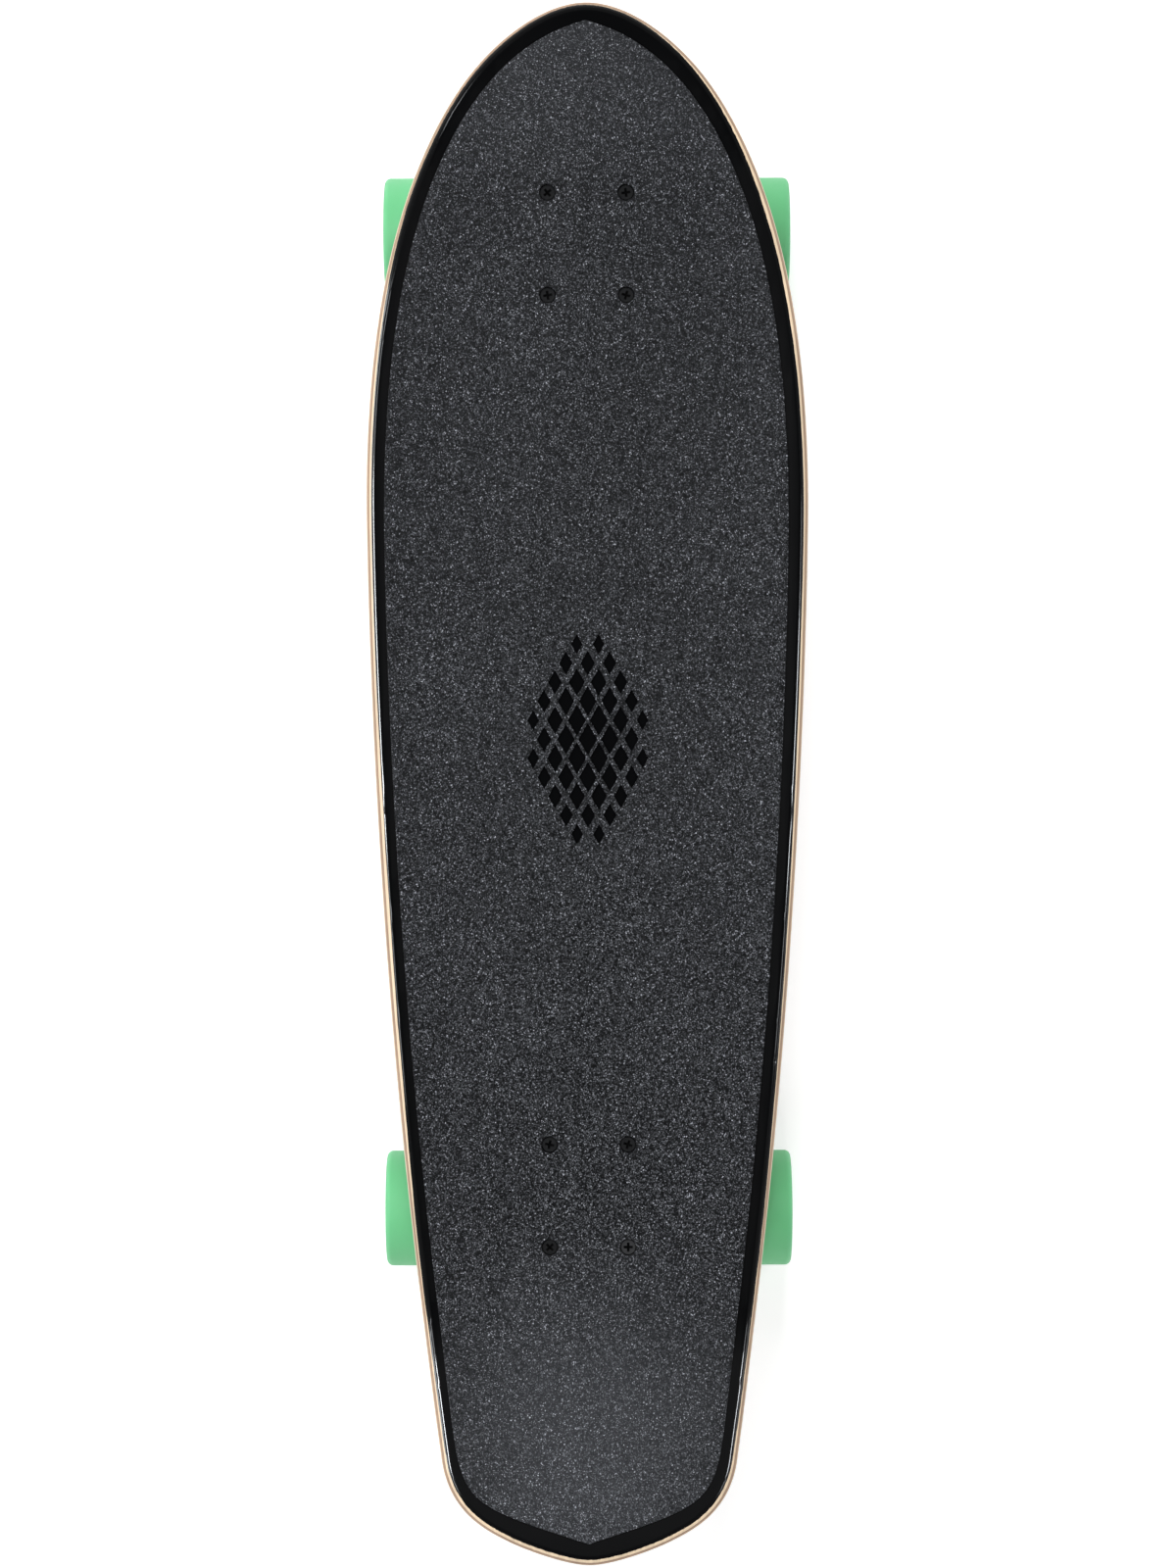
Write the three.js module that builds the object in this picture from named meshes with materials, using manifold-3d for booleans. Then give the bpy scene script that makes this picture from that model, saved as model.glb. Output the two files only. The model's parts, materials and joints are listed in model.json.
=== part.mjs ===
// A 32-inch cruiser skateboard: a kicked seven-ply deck with grip tape, on two standard-kingpin
// trucks with soft wheels. Millimetres. +X is the nose, +Y the rider's left and +Z up; the
// wheels stand on Z = 0, and X = 0, Y = 0 is the middle of the board.
import * as THREE from "three";
import { mergeVertices } from "three/addons/utils/BufferGeometryUtils.js";
import Module from "manifold-3d";

const wasm = await Module();
wasm.setup();

// ---------------------------------------------------------------- driving dimensions

const GAP = 0.3; // left between pieces that touch

// Deck: its half outline as cubic curves from the nose tip round the left side to the tail tip.
const DECK_TIP_X = 407.5;
const DECK_HALF_WIDTH = 116.2;
const DECK_THICKNESS = 11;
const DECK_NOSE = [[407.5, 0], [407.5, 36.4], [358, 116.2], [146.2, 116.2]];
const DECK_SIDE = [[146.2, 116.2], [137.8, 116.2], [-115.2, 114.3], [-355.3, 77.4]];
const DECK_TAIL = [[-355.3, 77.4], [-403.8, 70], [-407.5, 3.2], [-407.5, 0]];

// Deck section: a flat middle strip, rails that rise beside it, and two kicks.
const FLAT_HALF_WIDTH = 35;
const CONCAVE_RISE = 7;
const BEND_RADIUS = 200;
const NOSE_BEND_X = 318;
const NOSE_ANGLE = THREE.MathUtils.degToRad(9);
const TAIL_BEND_X = -266;
const TAIL_ANGLE = THREE.MathUtils.degToRad(15);

// Grip tape: pointed at the nose, a margin of bare deck all round, a cut-out panel amidships.
const GRIP_THICKNESS = 0.9;
const GRIP_SHIFT_Y = 0.5; // the sheet is stuck on slightly towards the left
const GRIP_NOSE = [[398, 0], [393.1, 14.7], [377, 106.1], [141, 106.1]];
const GRIP_SIDE = [[141, 106.1], [120.5, 106.1], [-94.8, 104.1], [-328.5, 72.4]];
const GRIP_TAIL = [[-328.5, 72.4], [-377.4, 65.8], [-376.8, 65], [-396.9, 0]];
const PANEL = { x: 21.5, halfLength: 59, halfWidth: 34, rowPitch: 10, columnPitch: 11.5 };
const LOZENGE = { halfLength: 8.6, halfWidth: 4.9, leastScale: 0.5 };

// Truck mounting: the four-bolt pattern under each end of the deck.
const PATTERN_LENGTH = 53.98;
const PATTERN_WIDTH = 41.28;
const FRONT_AXLE_X = 294.9;
const REAR_AXLE_X = -231.5;
const PATTERN_X = -12.7; // the pattern's centre lies inboard of the axle
const RISER_THICKNESS = 3;
const PLATE_LENGTH = 82;
const PLATE_WIDTH = 57;
const PLATE_THICKNESS = 5.5;
const PLATE_CORNER = 10;

// Mounting hardware: countersunk cross-head bolts with locking nuts.
const BOLT_RADIUS = 2.4;
const BOLT_LENGTH = 32;
const BOLT_HEAD_RADIUS = 3.95;
const BOLT_HEAD_SINK = 0.5; // head below the deck's top face
const BOLT_NUT_RADIUS = 5.5; // to the corners
const BOLT_NUT_HEIGHT = 5.5;
const CROSS_LENGTH = 5;
const CROSS_WIDTH = 1.2;
const CROSS_DEPTH = 1.6;
const CROSS_TURNS = { front: [40, 7, 9, -15], rear: [0, 45, -18, -11] }; // degrees, as they were left

// Truck: the axle is the truck's origin, X points outboard, and the deck face is above it.
const AXLE_HEIGHT = 31;
const TRUCK_HEIGHT = 53;
const AXLE_RADIUS = 4;
const AXLE_HALF_LENGTH = 108;
const HANGER_HALF_WIDTH = 74;
const PIVOT = new THREE.Vector3(17, 0, 36.5); // centre of the pivot's round end
const RING = new THREE.Vector3(-27, 0, 12); // centre of the hanger's bushing ring
const RING_RADIUS = 16.5;
const RING_BORE = 9;
const KINGPIN_LEAN = THREE.MathUtils.degToRad(24);

// Stations along the kingpin, from the ring's centre: up towards the deck is positive.
const RING_HALF_HEIGHT = 5;
const BOTTOM_BUSHING_HEIGHT = 14.4;
const TOP_BUSHING_HEIGHT = 11;
const BUSHING_RADIUS = 12.5;
const TOP_BUSHING_NARROW_RADIUS = 8.5;
const CUP_WASHER_HEIGHT = 1.6;
const BOTTOM_WASHER_RADIUS = 13.4;
const TOP_WASHER_RADIUS = 9.6;
const KINGPIN_NUT_HEIGHT = 8;
const KINGPIN_NUT_RADIUS = 8.25; // to the corners
const KINGPIN_HEAD = { bottom: 34, height: 5.5, cornerRadius: 8.25 };
const KINGPIN_RADIUS = 4.75;
const KINGPIN_END = -28.5;

// Wheels and bearings, along the axle.
const WHEEL_RADIUS = 31;
const WHEEL_WIDTH = 44;
const WHEEL_LIP = 3.2;
const WHEEL_CENTRE_Y = 87;
const WHEEL_SIDES = 28;
const BEARING_RADIUS = 11;
const BEARING_WIDTH = 7;
const SPACER_LENGTH = 10;
const SPACER_RADIUS = 5.3;
const AXLE_NUT_HEIGHT = 7;
const AXLE_NUT_RADIUS = 7.4; // to the corners
const AXLE_WASHER = 0.9; // room for the thin washer each side of the bearings

// ---------------------------------------------------------------- finishes

const finish = (color, roughness, metalness) => ({ color, roughness, metalness });
const MAPLE = finish(0xd8bc9a, 0.5, 0);
const GRIT = finish(0x3a3b3f, 0.95, 0);
const BLACK_STEEL = finish(0x1b1b1c, 0.35, 0.6);
const BLACK_RUBBER = finish(0x202022, 0.8, 0);
const CAST_ALLOY = finish(0xb4b6b8, 0.4, 0.9);
const STEEL = finish(0x9c9ea2, 0.3, 1);
const WHITE_URETHANE = finish(0xe6e3da, 0.45, 0);
const MINT_URETHANE = finish(0x8ecb96, 0.4, 0);
const BEARING_STEEL = finish(0xa8abb0, 0.25, 1);

// ---------------------------------------------------------------- solids

// A closed geometry as a solid that can be joined and cut.
function solid(geometry) {
  const bare = geometry.clone();
  bare.deleteAttribute("normal");
  bare.deleteAttribute("uv");
  const merged = mergeVertices(bare);
  const vertProperties = merged.attributes.position.array;
  const triVerts = new Uint32Array(merged.index.array);
  return new wasm.Manifold(new wasm.Mesh({ numProp: 3, vertProperties, triVerts }));
}

function geometryOf(made) {
  const { vertProperties, triVerts } = made.getMesh();
  const geometry = new THREE.BufferGeometry();
  geometry.setAttribute("position", new THREE.BufferAttribute(vertProperties, 3));
  geometry.setIndex(new THREE.BufferAttribute(triVerts, 1));
  geometry.computeVertexNormals();
  return geometry;
}

const joined = (pieces) => pieces.map(solid).reduce((whole, piece) => whole.add(piece));

const without = (whole, cutters) =>
  cutters.map(solid).reduce((left, cutter) => left.subtract(cutter), whole);

// A lathed solid about +Z from [radius, z] points.
function turned(points, sides = 24) {
  const profile = points.map(([radius, z]) => new THREE.Vector2(radius, z));
  return new THREE.LatheGeometry(profile, sides).rotateX(Math.PI / 2);
}

const rod = (radius, from, to, sides) =>
  turned([[0, from], [radius, from], [radius, to], [0, to]], sides);

const sleeve = (inner, outer, from, to, sides) =>
  turned([[inner, from], [outer, from], [outer, to], [inner, to], [inner, from]], sides);

// A flat shape drawn in X and Y, raised from one height to another.
function slabOf(shape, from, to, curveSegments = 4) {
  const options = { depth: to - from, bevelEnabled: false, curveSegments };
  return new THREE.ExtrudeGeometry(shape, options).translate(0, 0, from);
}

const shapeOf = (points) => new THREE.Shape(points.map(([x, y]) => new THREE.Vector2(x, y)));

// A side view drawn in X and Z, as thick as twice halfWidth along Y.
const sideSlab = (points, halfWidth) =>
  slabOf(shapeOf(points), -halfWidth, halfWidth).rotateX(Math.PI / 2);

function roundedRectangle(length, width, corner) {
  const x = length / 2 - corner;
  const y = width / 2 - corner;
  const shape = new THREE.Shape();
  shape.absarc(x, y, corner, 0, Math.PI / 2);
  shape.absarc(-x, y, corner, Math.PI / 2, Math.PI);
  shape.absarc(-x, -y, corner, Math.PI, 1.5 * Math.PI);
  shape.absarc(x, -y, corner, 1.5 * Math.PI, 2 * Math.PI);
  return shape;
}

// The outline whose left half is drawn by three cubic curves, mirrored to the right.
function mirroredOutline(...curves) {
  const shape = new THREE.Shape();
  shape.moveTo(...curves[0][0]);
  for (const [, a, b, end] of curves) shape.bezierCurveTo(...a, ...b, ...end);
  const mirror = ([x, y]) => [x, -y];
  for (const [start, a, b] of [...curves].reverse()) {
    shape.bezierCurveTo(...mirror(b), ...mirror(a), ...mirror(start));
  }
  return shape;
}

function mesh(name, geometry, look) {
  const made = new THREE.Mesh(geometry, new THREE.MeshStandardMaterial(look));
  made.name = name;
  return made;
}

// ---------------------------------------------------------------- deck and grip tape

const DECK_BOTTOM_Z = AXLE_HEIGHT + TRUCK_HEIGHT + RISER_THICKNESS + 2 * GAP;
const DECK_TOP_Z = DECK_BOTTOM_Z + DECK_THICKNESS;
const BOLT_HEAD_Z = DECK_TOP_Z - BOLT_HEAD_SINK;

// How high a kick has risen at a distance past its bend line: along an arc, then straight.
function kickRise(distance, angle) {
  const onArc = THREE.MathUtils.clamp(distance, 0, BEND_RADIUS * Math.sin(angle));
  const arcRise = BEND_RADIUS - Math.sqrt(BEND_RADIUS ** 2 - onArc ** 2);
  return arcRise + Math.max(distance - onArc, 0) * Math.tan(angle);
}

function deckRise(x, y) {
  const outside = Math.max(Math.abs(y) - FLAT_HALF_WIDTH, 0) / (DECK_HALF_WIDTH - FLAT_HALF_WIDTH);
  const concave = CONCAVE_RISE * outside ** 2;
  return concave + kickRise(x - NOSE_BEND_X, NOSE_ANGLE) + kickRise(TAIL_BEND_X - x, TAIL_ANGLE);
}

// Stations where the deck's slope changes: few on its straight runs, more round its bends.
const steps = (from, to, count) =>
  Array.from({ length: count + 1 }, (_, i) => from + ((to - from) * i) / count);
const SLAB_MARGIN = 10;
const bendEnd = (angle) => BEND_RADIUS * Math.sin(angle);
const ALONG = [
  -DECK_TIP_X - SLAB_MARGIN,
  ...steps(TAIL_BEND_X - bendEnd(TAIL_ANGLE), TAIL_BEND_X, 4),
  ...steps(NOSE_BEND_X, NOSE_BEND_X + bendEnd(NOSE_ANGLE), 3),
  DECK_TIP_X + SLAB_MARGIN,
];
const ACROSS = [
  ...steps(-DECK_HALF_WIDTH - SLAB_MARGIN, -FLAT_HALF_WIDTH, 5),
  ...steps(FLAT_HALF_WIDTH, DECK_HALF_WIDTH + SLAB_MARGIN, 5),
];

// A sheet between two heights that follows the deck's bends and concave.
function bentSheet(bottom, top) {
  const columns = ALONG.length - 1;
  const rows = ACROSS.length - 1;
  const sheet = new THREE.BoxGeometry(columns, rows, 1, columns, rows, 1);
  const corners = sheet.attributes.position;
  for (let i = 0; i < corners.count; i += 1) {
    const x = ALONG[Math.round(corners.getX(i) + columns / 2)];
    const y = ACROSS[Math.round(corners.getY(i) + rows / 2)];
    corners.setXYZ(i, x, y, (corners.getZ(i) > 0 ? top : bottom) + deckRise(x, y));
  }
  return solid(sheet);
}

// The bent sheet trimmed to an outline, which may be shifted sideways.
function trimmedSheet(outline, bottom, top, shiftY = 0) {
  const column = solid(slabOf(outline, bottom - SLAB_MARGIN, top + 60, 12));
  return bentSheet(bottom, top).intersect(column.translate(0, shiftY, 0));
}

// The mounting bolts' places, in a truck's frame and on the deck.
const BOLT_HOLES = [1, -1].flatMap((end) =>
  [1, -1].map((side) => [PATTERN_X + (end * PATTERN_LENGTH) / 2, (side * PATTERN_WIDTH) / 2]),
);
const BOLT_PLACES = BOLT_HOLES.flatMap(([x, y]) => [[FRONT_AXLE_X + x, y], [REAR_AXLE_X - x, -y]]);

const atBolts = (cutter) => BOLT_PLACES.map(([x, y]) => cutter.clone().translate(x, y, 0));

function deck() {
  const hole = BOLT_RADIUS + GAP;
  const head = BOLT_HEAD_RADIUS + GAP;
  const countersunkHole = turned(
    [
      [0, DECK_BOTTOM_Z - 1],
      [hole, DECK_BOTTOM_Z - 1],
      [hole, BOLT_HEAD_Z - head + hole - GAP],
      [head, BOLT_HEAD_Z - GAP],
      [head, DECK_TOP_Z + 1],
      [0, DECK_TOP_Z + 1],
    ],
    10,
  );
  const outline = mirroredOutline(DECK_NOSE, DECK_SIDE, DECK_TAIL);
  const board = trimmedSheet(outline, DECK_BOTTOM_Z, DECK_TOP_Z);
  return geometryOf(without(board, atBolts(countersunkHole)));
}

// Lozenges in staggered rows that shrink towards the edge of an oval.
function lozenges(from, to) {
  const { x, halfLength, halfWidth, rowPitch, columnPitch } = PANEL;
  const rows = Math.floor(halfLength / rowPitch);
  const columns = Math.ceil(halfWidth / columnPitch);
  const cut = [];
  for (let row = -rows; row <= rows; row += 1) {
    for (let column = -columns; column <= columns; column += 1) {
      const along = row * rowPitch;
      const across = (column + (row % 2 ? 0.5 : 0)) * columnPitch;
      const reach = Math.hypot(along / halfLength, across / halfWidth);
      if (reach > 0.93) continue;
      const scale = THREE.MathUtils.lerp(1, LOZENGE.leastScale, reach ** 2);
      const a = LOZENGE.halfLength * scale;
      const b = LOZENGE.halfWidth * scale;
      const corners = [[a, 0], [0, b], [-a, 0], [0, -b]];
      cut.push(slabOf(shapeOf(corners), from, to).translate(x + along, across, 0));
    }
  }
  return cut;
}

function gripTape() {
  const bottom = DECK_TOP_Z + GAP;
  const top = bottom + GRIP_THICKNESS;
  const outline = mirroredOutline(GRIP_NOSE, GRIP_SIDE, GRIP_TAIL);
  const sheet = trimmedSheet(outline, bottom, top, GRIP_SHIFT_Y);
  const boltHole = rod(BOLT_HEAD_RADIUS + GAP, bottom - 1, top + 1, 10);
  return geometryOf(without(sheet, [...atBolts(boltHole), ...lozenges(bottom - 1, top + 1)]));
}

// ---------------------------------------------------------------- mounting hardware

// A bolt from its head's top face down, with a cross recess.
function mountingBolt() {
  const neck = BOLT_HEAD_RADIUS - BOLT_RADIUS;
  const blank = turned(
    [
      [0, -BOLT_LENGTH],
      [BOLT_RADIUS, -BOLT_LENGTH],
      [BOLT_RADIUS, -neck],
      [BOLT_HEAD_RADIUS, 0],
      [0, 0],
    ],
    10,
  );
  const slot = new THREE.BoxGeometry(CROSS_LENGTH, CROSS_WIDTH, 2 * CROSS_DEPTH);
  return geometryOf(without(solid(blank), [slot, slot.clone().rotateZ(Math.PI / 2)]));
}

const hexNut = (cornerRadius, bore, from, to) =>
  geometryOf(without(solid(rod(cornerRadius, from, to, 6)), [rod(bore, from - 1, to + 1, 10)]));

// ---------------------------------------------------------------- truck pieces

const UP_KINGPIN = new THREE.Vector3(Math.sin(KINGPIN_LEAN), 0, Math.cos(KINGPIN_LEAN));
const STEER_AXIS = PIVOT.clone().sub(RING).normalize();
const ALONG_Z = new THREE.Vector3(0, 0, 1);

// Lays geometry made about +Z along a direction, with its own origin at a point.
const laid = (geometry, direction, point) =>
  geometry
    .applyQuaternion(new THREE.Quaternion().setFromUnitVectors(ALONG_Z, direction))
    .translate(point.x, point.y, point.z);

const onKingpin = (geometry) => laid(geometry, UP_KINGPIN, RING);
const onPivot = (geometry) => laid(geometry, STEER_AXIS, PIVOT);
const alongAxle = (geometry) => geometry.rotateX(Math.PI / 2);

const BOTTOM_BUSHING_FROM = RING_HALF_HEIGHT + GAP;
const BOTTOM_WASHER_FROM = BOTTOM_BUSHING_FROM + BOTTOM_BUSHING_HEIGHT + GAP;
const SEAT = BOTTOM_WASHER_FROM + CUP_WASHER_HEIGHT + GAP;
const TOP_BUSHING_FROM = -RING_HALF_HEIGHT - GAP;
const TOP_WASHER_FROM = TOP_BUSHING_FROM - TOP_BUSHING_HEIGHT - GAP;
const KINGPIN_NUT_FROM = TOP_WASHER_FROM - CUP_WASHER_HEIGHT - GAP;
const KINGPIN_BORE = KINGPIN_RADIUS + GAP;
const AXLE_FROM_RING = Math.hypot(RING.x, RING.z); // the axle lies in the ring's own plane
const GUSSET_TURN = THREE.MathUtils.degToRad(-76);
const PIVOT_CUP = { radius: 8, mouth: -5, end: 8, tipRadius: 5.3, wall: 1.8 };
const boltHolesThrough = (from, to) =>
  BOLT_HOLES.map(([x, y]) => rod(BOLT_RADIUS + GAP, from, to, 10).translate(x, y, 0));

function riserPad() {
  const bottom = TRUCK_HEIGHT + GAP;
  const top = bottom + RISER_THICKNESS;
  const pad = slabOf(roundedRectangle(PLATE_LENGTH, PLATE_WIDTH, PLATE_CORNER), bottom, top);
  pad.translate(PATTERN_X, 0, 0);
  return geometryOf(without(solid(pad), boltHolesThrough(bottom - 1, top + 1)));
}

// Plate, kingpin boss and pivot tower in one casting, joined by a spine.
function baseplate() {
  const underside = TRUCK_HEIGHT - PLATE_THICKNESS;
  const plateShape = roundedRectangle(PLATE_LENGTH, PLATE_WIDTH, PLATE_CORNER);
  const plate = slabOf(plateShape, underside, TRUCK_HEIGHT).translate(PATTERN_X, 0, 0);
  const bossTop = SEAT + 17;
  const bossProfile = [[0, SEAT], [13.6, SEAT], [14, SEAT + 9], [18, bossTop], [0, bossTop]];
  const boss = onKingpin(turned(bossProfile, 20));
  const tower = onPivot(rod(PIVOT_CUP.radius + 3, PIVOT_CUP.mouth, PIVOT_CUP.end + 2, 16));
  const towerFoot = sideSlab([[8, 48], [8, 43], [15, 37], [24, 36], [28, 41], [28, 48]], 10.5);
  const spine = sideSlab([[-38, 48], [-30, 41], [-8, 40], [2, 41], [12, 40], [12, 48]], 4);
  const aboveDeckFace = new THREE.BoxGeometry(2 * PLATE_LENGTH, 2 * PLATE_WIDTH, 40);
  const casting = joined([plate, boss, tower, towerFoot, spine]);
  return geometryOf(
    without(casting, [
      aboveDeckFace.translate(0, 0, TRUCK_HEIGHT + 20),
      onKingpin(rod(KINGPIN_BORE + GAP, 0, 60, 12)),
      onKingpin(rod(KINGPIN_HEAD.cornerRadius + 0.7, KINGPIN_HEAD.bottom - GAP, 60, 12)),
      onPivot(rod(PIVOT_CUP.radius + GAP, PIVOT_CUP.mouth - 20, PIVOT_CUP.end + GAP, 16)),
      ...boltHolesThrough(underside - 12, TRUCK_HEIGHT + 1),
    ]),
  );
}

function pivotCup() {
  const { radius, mouth, end, tipRadius, wall } = PIVOT_CUP;
  const bore = tipRadius + GAP;
  return onPivot(
    turned(
      [
        [0, end - wall],
        [bore - 1.6, end - wall],
        [bore, end - wall - 1.8],
        [bore, mouth],
        [radius, mouth],
        [radius, end],
        [0, end],
      ],
      16,
    ),
  );
}

function kingpin() {
  const { bottom, height, cornerRadius } = KINGPIN_HEAD;
  const shank = rod(KINGPIN_RADIUS, KINGPIN_END, bottom + 1, 16);
  const head = rod(cornerRadius, bottom, bottom + height, 6);
  return onKingpin(geometryOf(joined([shank, head])));
}

const cupWasher = (radius, from) =>
  onKingpin(sleeve(KINGPIN_BORE, radius, from, from + CUP_WASHER_HEIGHT, 16));

function bottomBushing() {
  const to = BOTTOM_BUSHING_FROM + BOTTOM_BUSHING_HEIGHT;
  return onKingpin(sleeve(KINGPIN_BORE, BUSHING_RADIUS, BOTTOM_BUSHING_FROM, to, 20));
}

function topBushing() {
  const wide = TOP_BUSHING_FROM;
  const narrow = TOP_BUSHING_FROM - TOP_BUSHING_HEIGHT;
  const profile = [
    [KINGPIN_BORE, narrow],
    [TOP_BUSHING_NARROW_RADIUS, narrow],
    [BUSHING_RADIUS, wide - 3],
    [BUSHING_RADIUS, wide],
    [KINGPIN_BORE, wide],
    [KINGPIN_BORE, narrow],
  ];
  return onKingpin(turned(profile, 20));
}

// The casting that carries the axle: beam, bushing ring, web, arm and pivot stem.
function hanger() {
  const beamHalf = [[10.8, 28], [9.2, 60], [8.4, HANGER_HALF_WIDTH], [0, HANGER_HALF_WIDTH]];
  const beamProfile = [...beamHalf.map(([radius, y]) => [radius, -y]).reverse(), ...beamHalf];
  const beam = alongAxle(turned(beamProfile, 20));
  const ring = onKingpin(rod(RING_RADIUS, -RING_HALF_HEIGHT, RING_HALF_HEIGHT, 20));
  const webHalf = [[-4, 14], [8, 17], [AXLE_FROM_RING, 48]];
  const webCorners = [...webHalf, ...webHalf.map(([x, y]) => [x, -y]).reverse()];
  const web = onKingpin(slabOf(shapeOf(webCorners), -4, 4));
  const arm = sideSlab([[-8, 6], [8, 4], [13.5, 24], [9.5, 33], [1.5, 27.5], [-2, 18]], 5);
  const gussetCorners = [[2, 36], [27, 6], [27, -6], [2, -36]];
  const gusset = slabOf(shapeOf(gussetCorners), -3, 3).rotateY(GUSSET_TURN);
  const tip = PIVOT_CUP.tipRadius;
  const stemProfile = [[0, -17], [6, -17], [7.2, -12], [5, -6], [4.6, -3], [tip, 0], [4.6, 2.6], [0, tip]];
  const stem = onPivot(turned(stemProfile, 16));
  const casting = joined([beam, ring, web, arm, gusset, stem]);
  return geometryOf(
    without(casting, [
      alongAxle(rod(AXLE_RADIUS + GAP, -HANGER_HALF_WIDTH - 1, HANGER_HALF_WIDTH + 1, 16)),
      onKingpin(rod(RING_BORE, -20, 20, 20)),
    ]),
  );
}

const axle = () => alongAxle(rod(AXLE_RADIUS, -AXLE_HALF_LENGTH, AXLE_HALF_LENGTH, 16));

// ---------------------------------------------------------------- wheels, about their own centre

const SEAT_DEPTH_FROM = SPACER_LENGTH / 2 - GAP;
const BEARING_OUTER = SPACER_LENGTH / 2 + BEARING_WIDTH;

// Urethane tyre cast round a stepped core: two bearing seats and a rib between them.
function wheel() {
  const rim = WHEEL_RADIUS / Math.cos(Math.PI / WHEEL_SIDES); // flats, not corners, on the floor
  const half = WHEEL_WIDTH / 2;
  const seat = BEARING_RADIUS + GAP;
  const outerFace = [
    [9.4, SEAT_DEPTH_FROM],
    [seat, SEAT_DEPTH_FROM],
    [seat, BEARING_OUTER + GAP],
    [20.5, half - 1.2],
    [rim - WHEEL_LIP - 1.5, half],
    [rim - 0.9, half - 1.1],
    [rim, half - WHEEL_LIP - 1],
  ];
  const innerFace = [...outerFace].reverse().map(([radius, y]) => [radius, -y]);
  const profile = [...innerFace, ...outerFace, innerFace[0]].reverse();
  return alongAxle(turned(profile, WHEEL_SIDES)).rotateY(Math.PI / WHEEL_SIDES);
}

const AXLE_BORE = AXLE_RADIUS + GAP;

const bearing = (from) =>
  alongAxle(sleeve(AXLE_BORE, BEARING_RADIUS, from, from + BEARING_WIDTH, 16));

function spacer() {
  const half = SPACER_LENGTH / 2 - GAP;
  return alongAxle(sleeve(AXLE_BORE, SPACER_RADIUS, -half, half, 12));
}

// ---------------------------------------------------------------- assembly

const board = new THREE.Group();
board.add(mesh("deck", deck(), MAPLE));
board.add(mesh("grip_tape", gripTape(), GRIT));

// One end's wheel with its bearings, spacer and nut; out is +1 or -1 along the axle.
function wheelSet(side, out) {
  const set = new THREE.Group();
  set.position.y = out * WHEEL_CENTRE_Y;
  const outboardBearing = out > 0 ? SPACER_LENGTH / 2 : -BEARING_OUTER;
  const inboardBearing = out > 0 ? -BEARING_OUTER : SPACER_LENGTH / 2;
  const nutFrom = out * (BEARING_OUTER + AXLE_WASHER + AXLE_NUT_HEIGHT / 2);
  const nut = hexNut(AXLE_NUT_RADIUS, AXLE_BORE, -AXLE_NUT_HEIGHT / 2, AXLE_NUT_HEIGHT / 2);
  set.add(mesh(`${side}_wheel`, wheel(), MINT_URETHANE));
  set.add(mesh(`${side}_outer_bearing`, bearing(outboardBearing), BEARING_STEEL));
  set.add(mesh(`${side}_inner_bearing`, bearing(inboardBearing), BEARING_STEEL));
  set.add(mesh(`${side}_bearing_spacer`, spacer(), STEEL));
  set.add(mesh(`${side}_axle_nut`, alongAxle(nut).translate(0, nutFrom, 0), STEEL));
  return set;
}

// A whole truck in its own frame; turning it round makes the rear one.
function truck(end) {
  const group = new THREE.Group();
  const add = (name, geometry, look) => group.add(mesh(`${end}_${name}`, geometry, look));
  add("riser_pad", riserPad(), BLACK_RUBBER);
  add("baseplate", baseplate(), CAST_ALLOY);
  add("pivot_cup", pivotCup(), BLACK_RUBBER);
  add("kingpin", kingpin(), STEEL);
  add("bottom_washer", cupWasher(BOTTOM_WASHER_RADIUS, BOTTOM_WASHER_FROM), STEEL);
  add("bottom_bushing", bottomBushing(), WHITE_URETHANE);
  add("hanger", hanger(), CAST_ALLOY);
  add("top_bushing", topBushing(), WHITE_URETHANE);
  add("top_washer", cupWasher(TOP_WASHER_RADIUS, TOP_WASHER_FROM - CUP_WASHER_HEIGHT), STEEL);
  const nutEnd = KINGPIN_NUT_FROM - KINGPIN_NUT_HEIGHT;
  const kingpinNut = hexNut(KINGPIN_NUT_RADIUS, KINGPIN_BORE, nutEnd, KINGPIN_NUT_FROM);
  add("kingpin_nut", onKingpin(kingpinNut), STEEL);
  add("axle", axle(), STEEL);
  BOLT_HOLES.forEach(([x, y], i) => {
    const bolt = mesh(`${end}_mounting_bolt_${i + 1}`, mountingBolt(), BLACK_STEEL);
    bolt.position.set(x, y, BOLT_HEAD_Z - AXLE_HEIGHT);
    bolt.rotation.z = THREE.MathUtils.degToRad(CROSS_TURNS[end][i]);
    group.add(bolt);
    const top = TRUCK_HEIGHT - PLATE_THICKNESS - GAP;
    const nut = hexNut(BOLT_NUT_RADIUS, BOLT_RADIUS + GAP, top - BOLT_NUT_HEIGHT, top);
    add(`mounting_nut_${i + 1}`, nut.translate(x, y, 0), BLACK_STEEL);
  });
  for (const out of [1, -1]) {
    const left = (end === "front") === (out > 0);
    group.add(wheelSet(`${end}_${left ? "left" : "right"}`, out));
  }
  return group;
}

const frontTruck = truck("front");
frontTruck.position.set(FRONT_AXLE_X, 0, AXLE_HEIGHT);
board.add(frontTruck);

const rearTruck = truck("rear");
rearTruck.position.set(REAR_AXLE_X, 0, AXLE_HEIGHT);
rearTruck.rotation.z = Math.PI;
board.add(rearTruck);

export default board;
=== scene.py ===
# %% [markdown]
# # A 32-inch cruiser skateboard
#
# The board is a kicked maple deck with grip tape, two cast trucks and four soft wheels. The packed
# CAD model already holds its pieces at their real size and place, with the joints. This lesson
# models the visible surface of each piece round that frame. Every piece is made the way a hand
# would make it in Blender: a primitive, edit-mode tools, then modifiers that are applied.

# %% Load the frame
import json
import math
from contextlib import contextmanager

import bmesh
import bpy
from mathutils import Matrix, Vector


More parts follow.
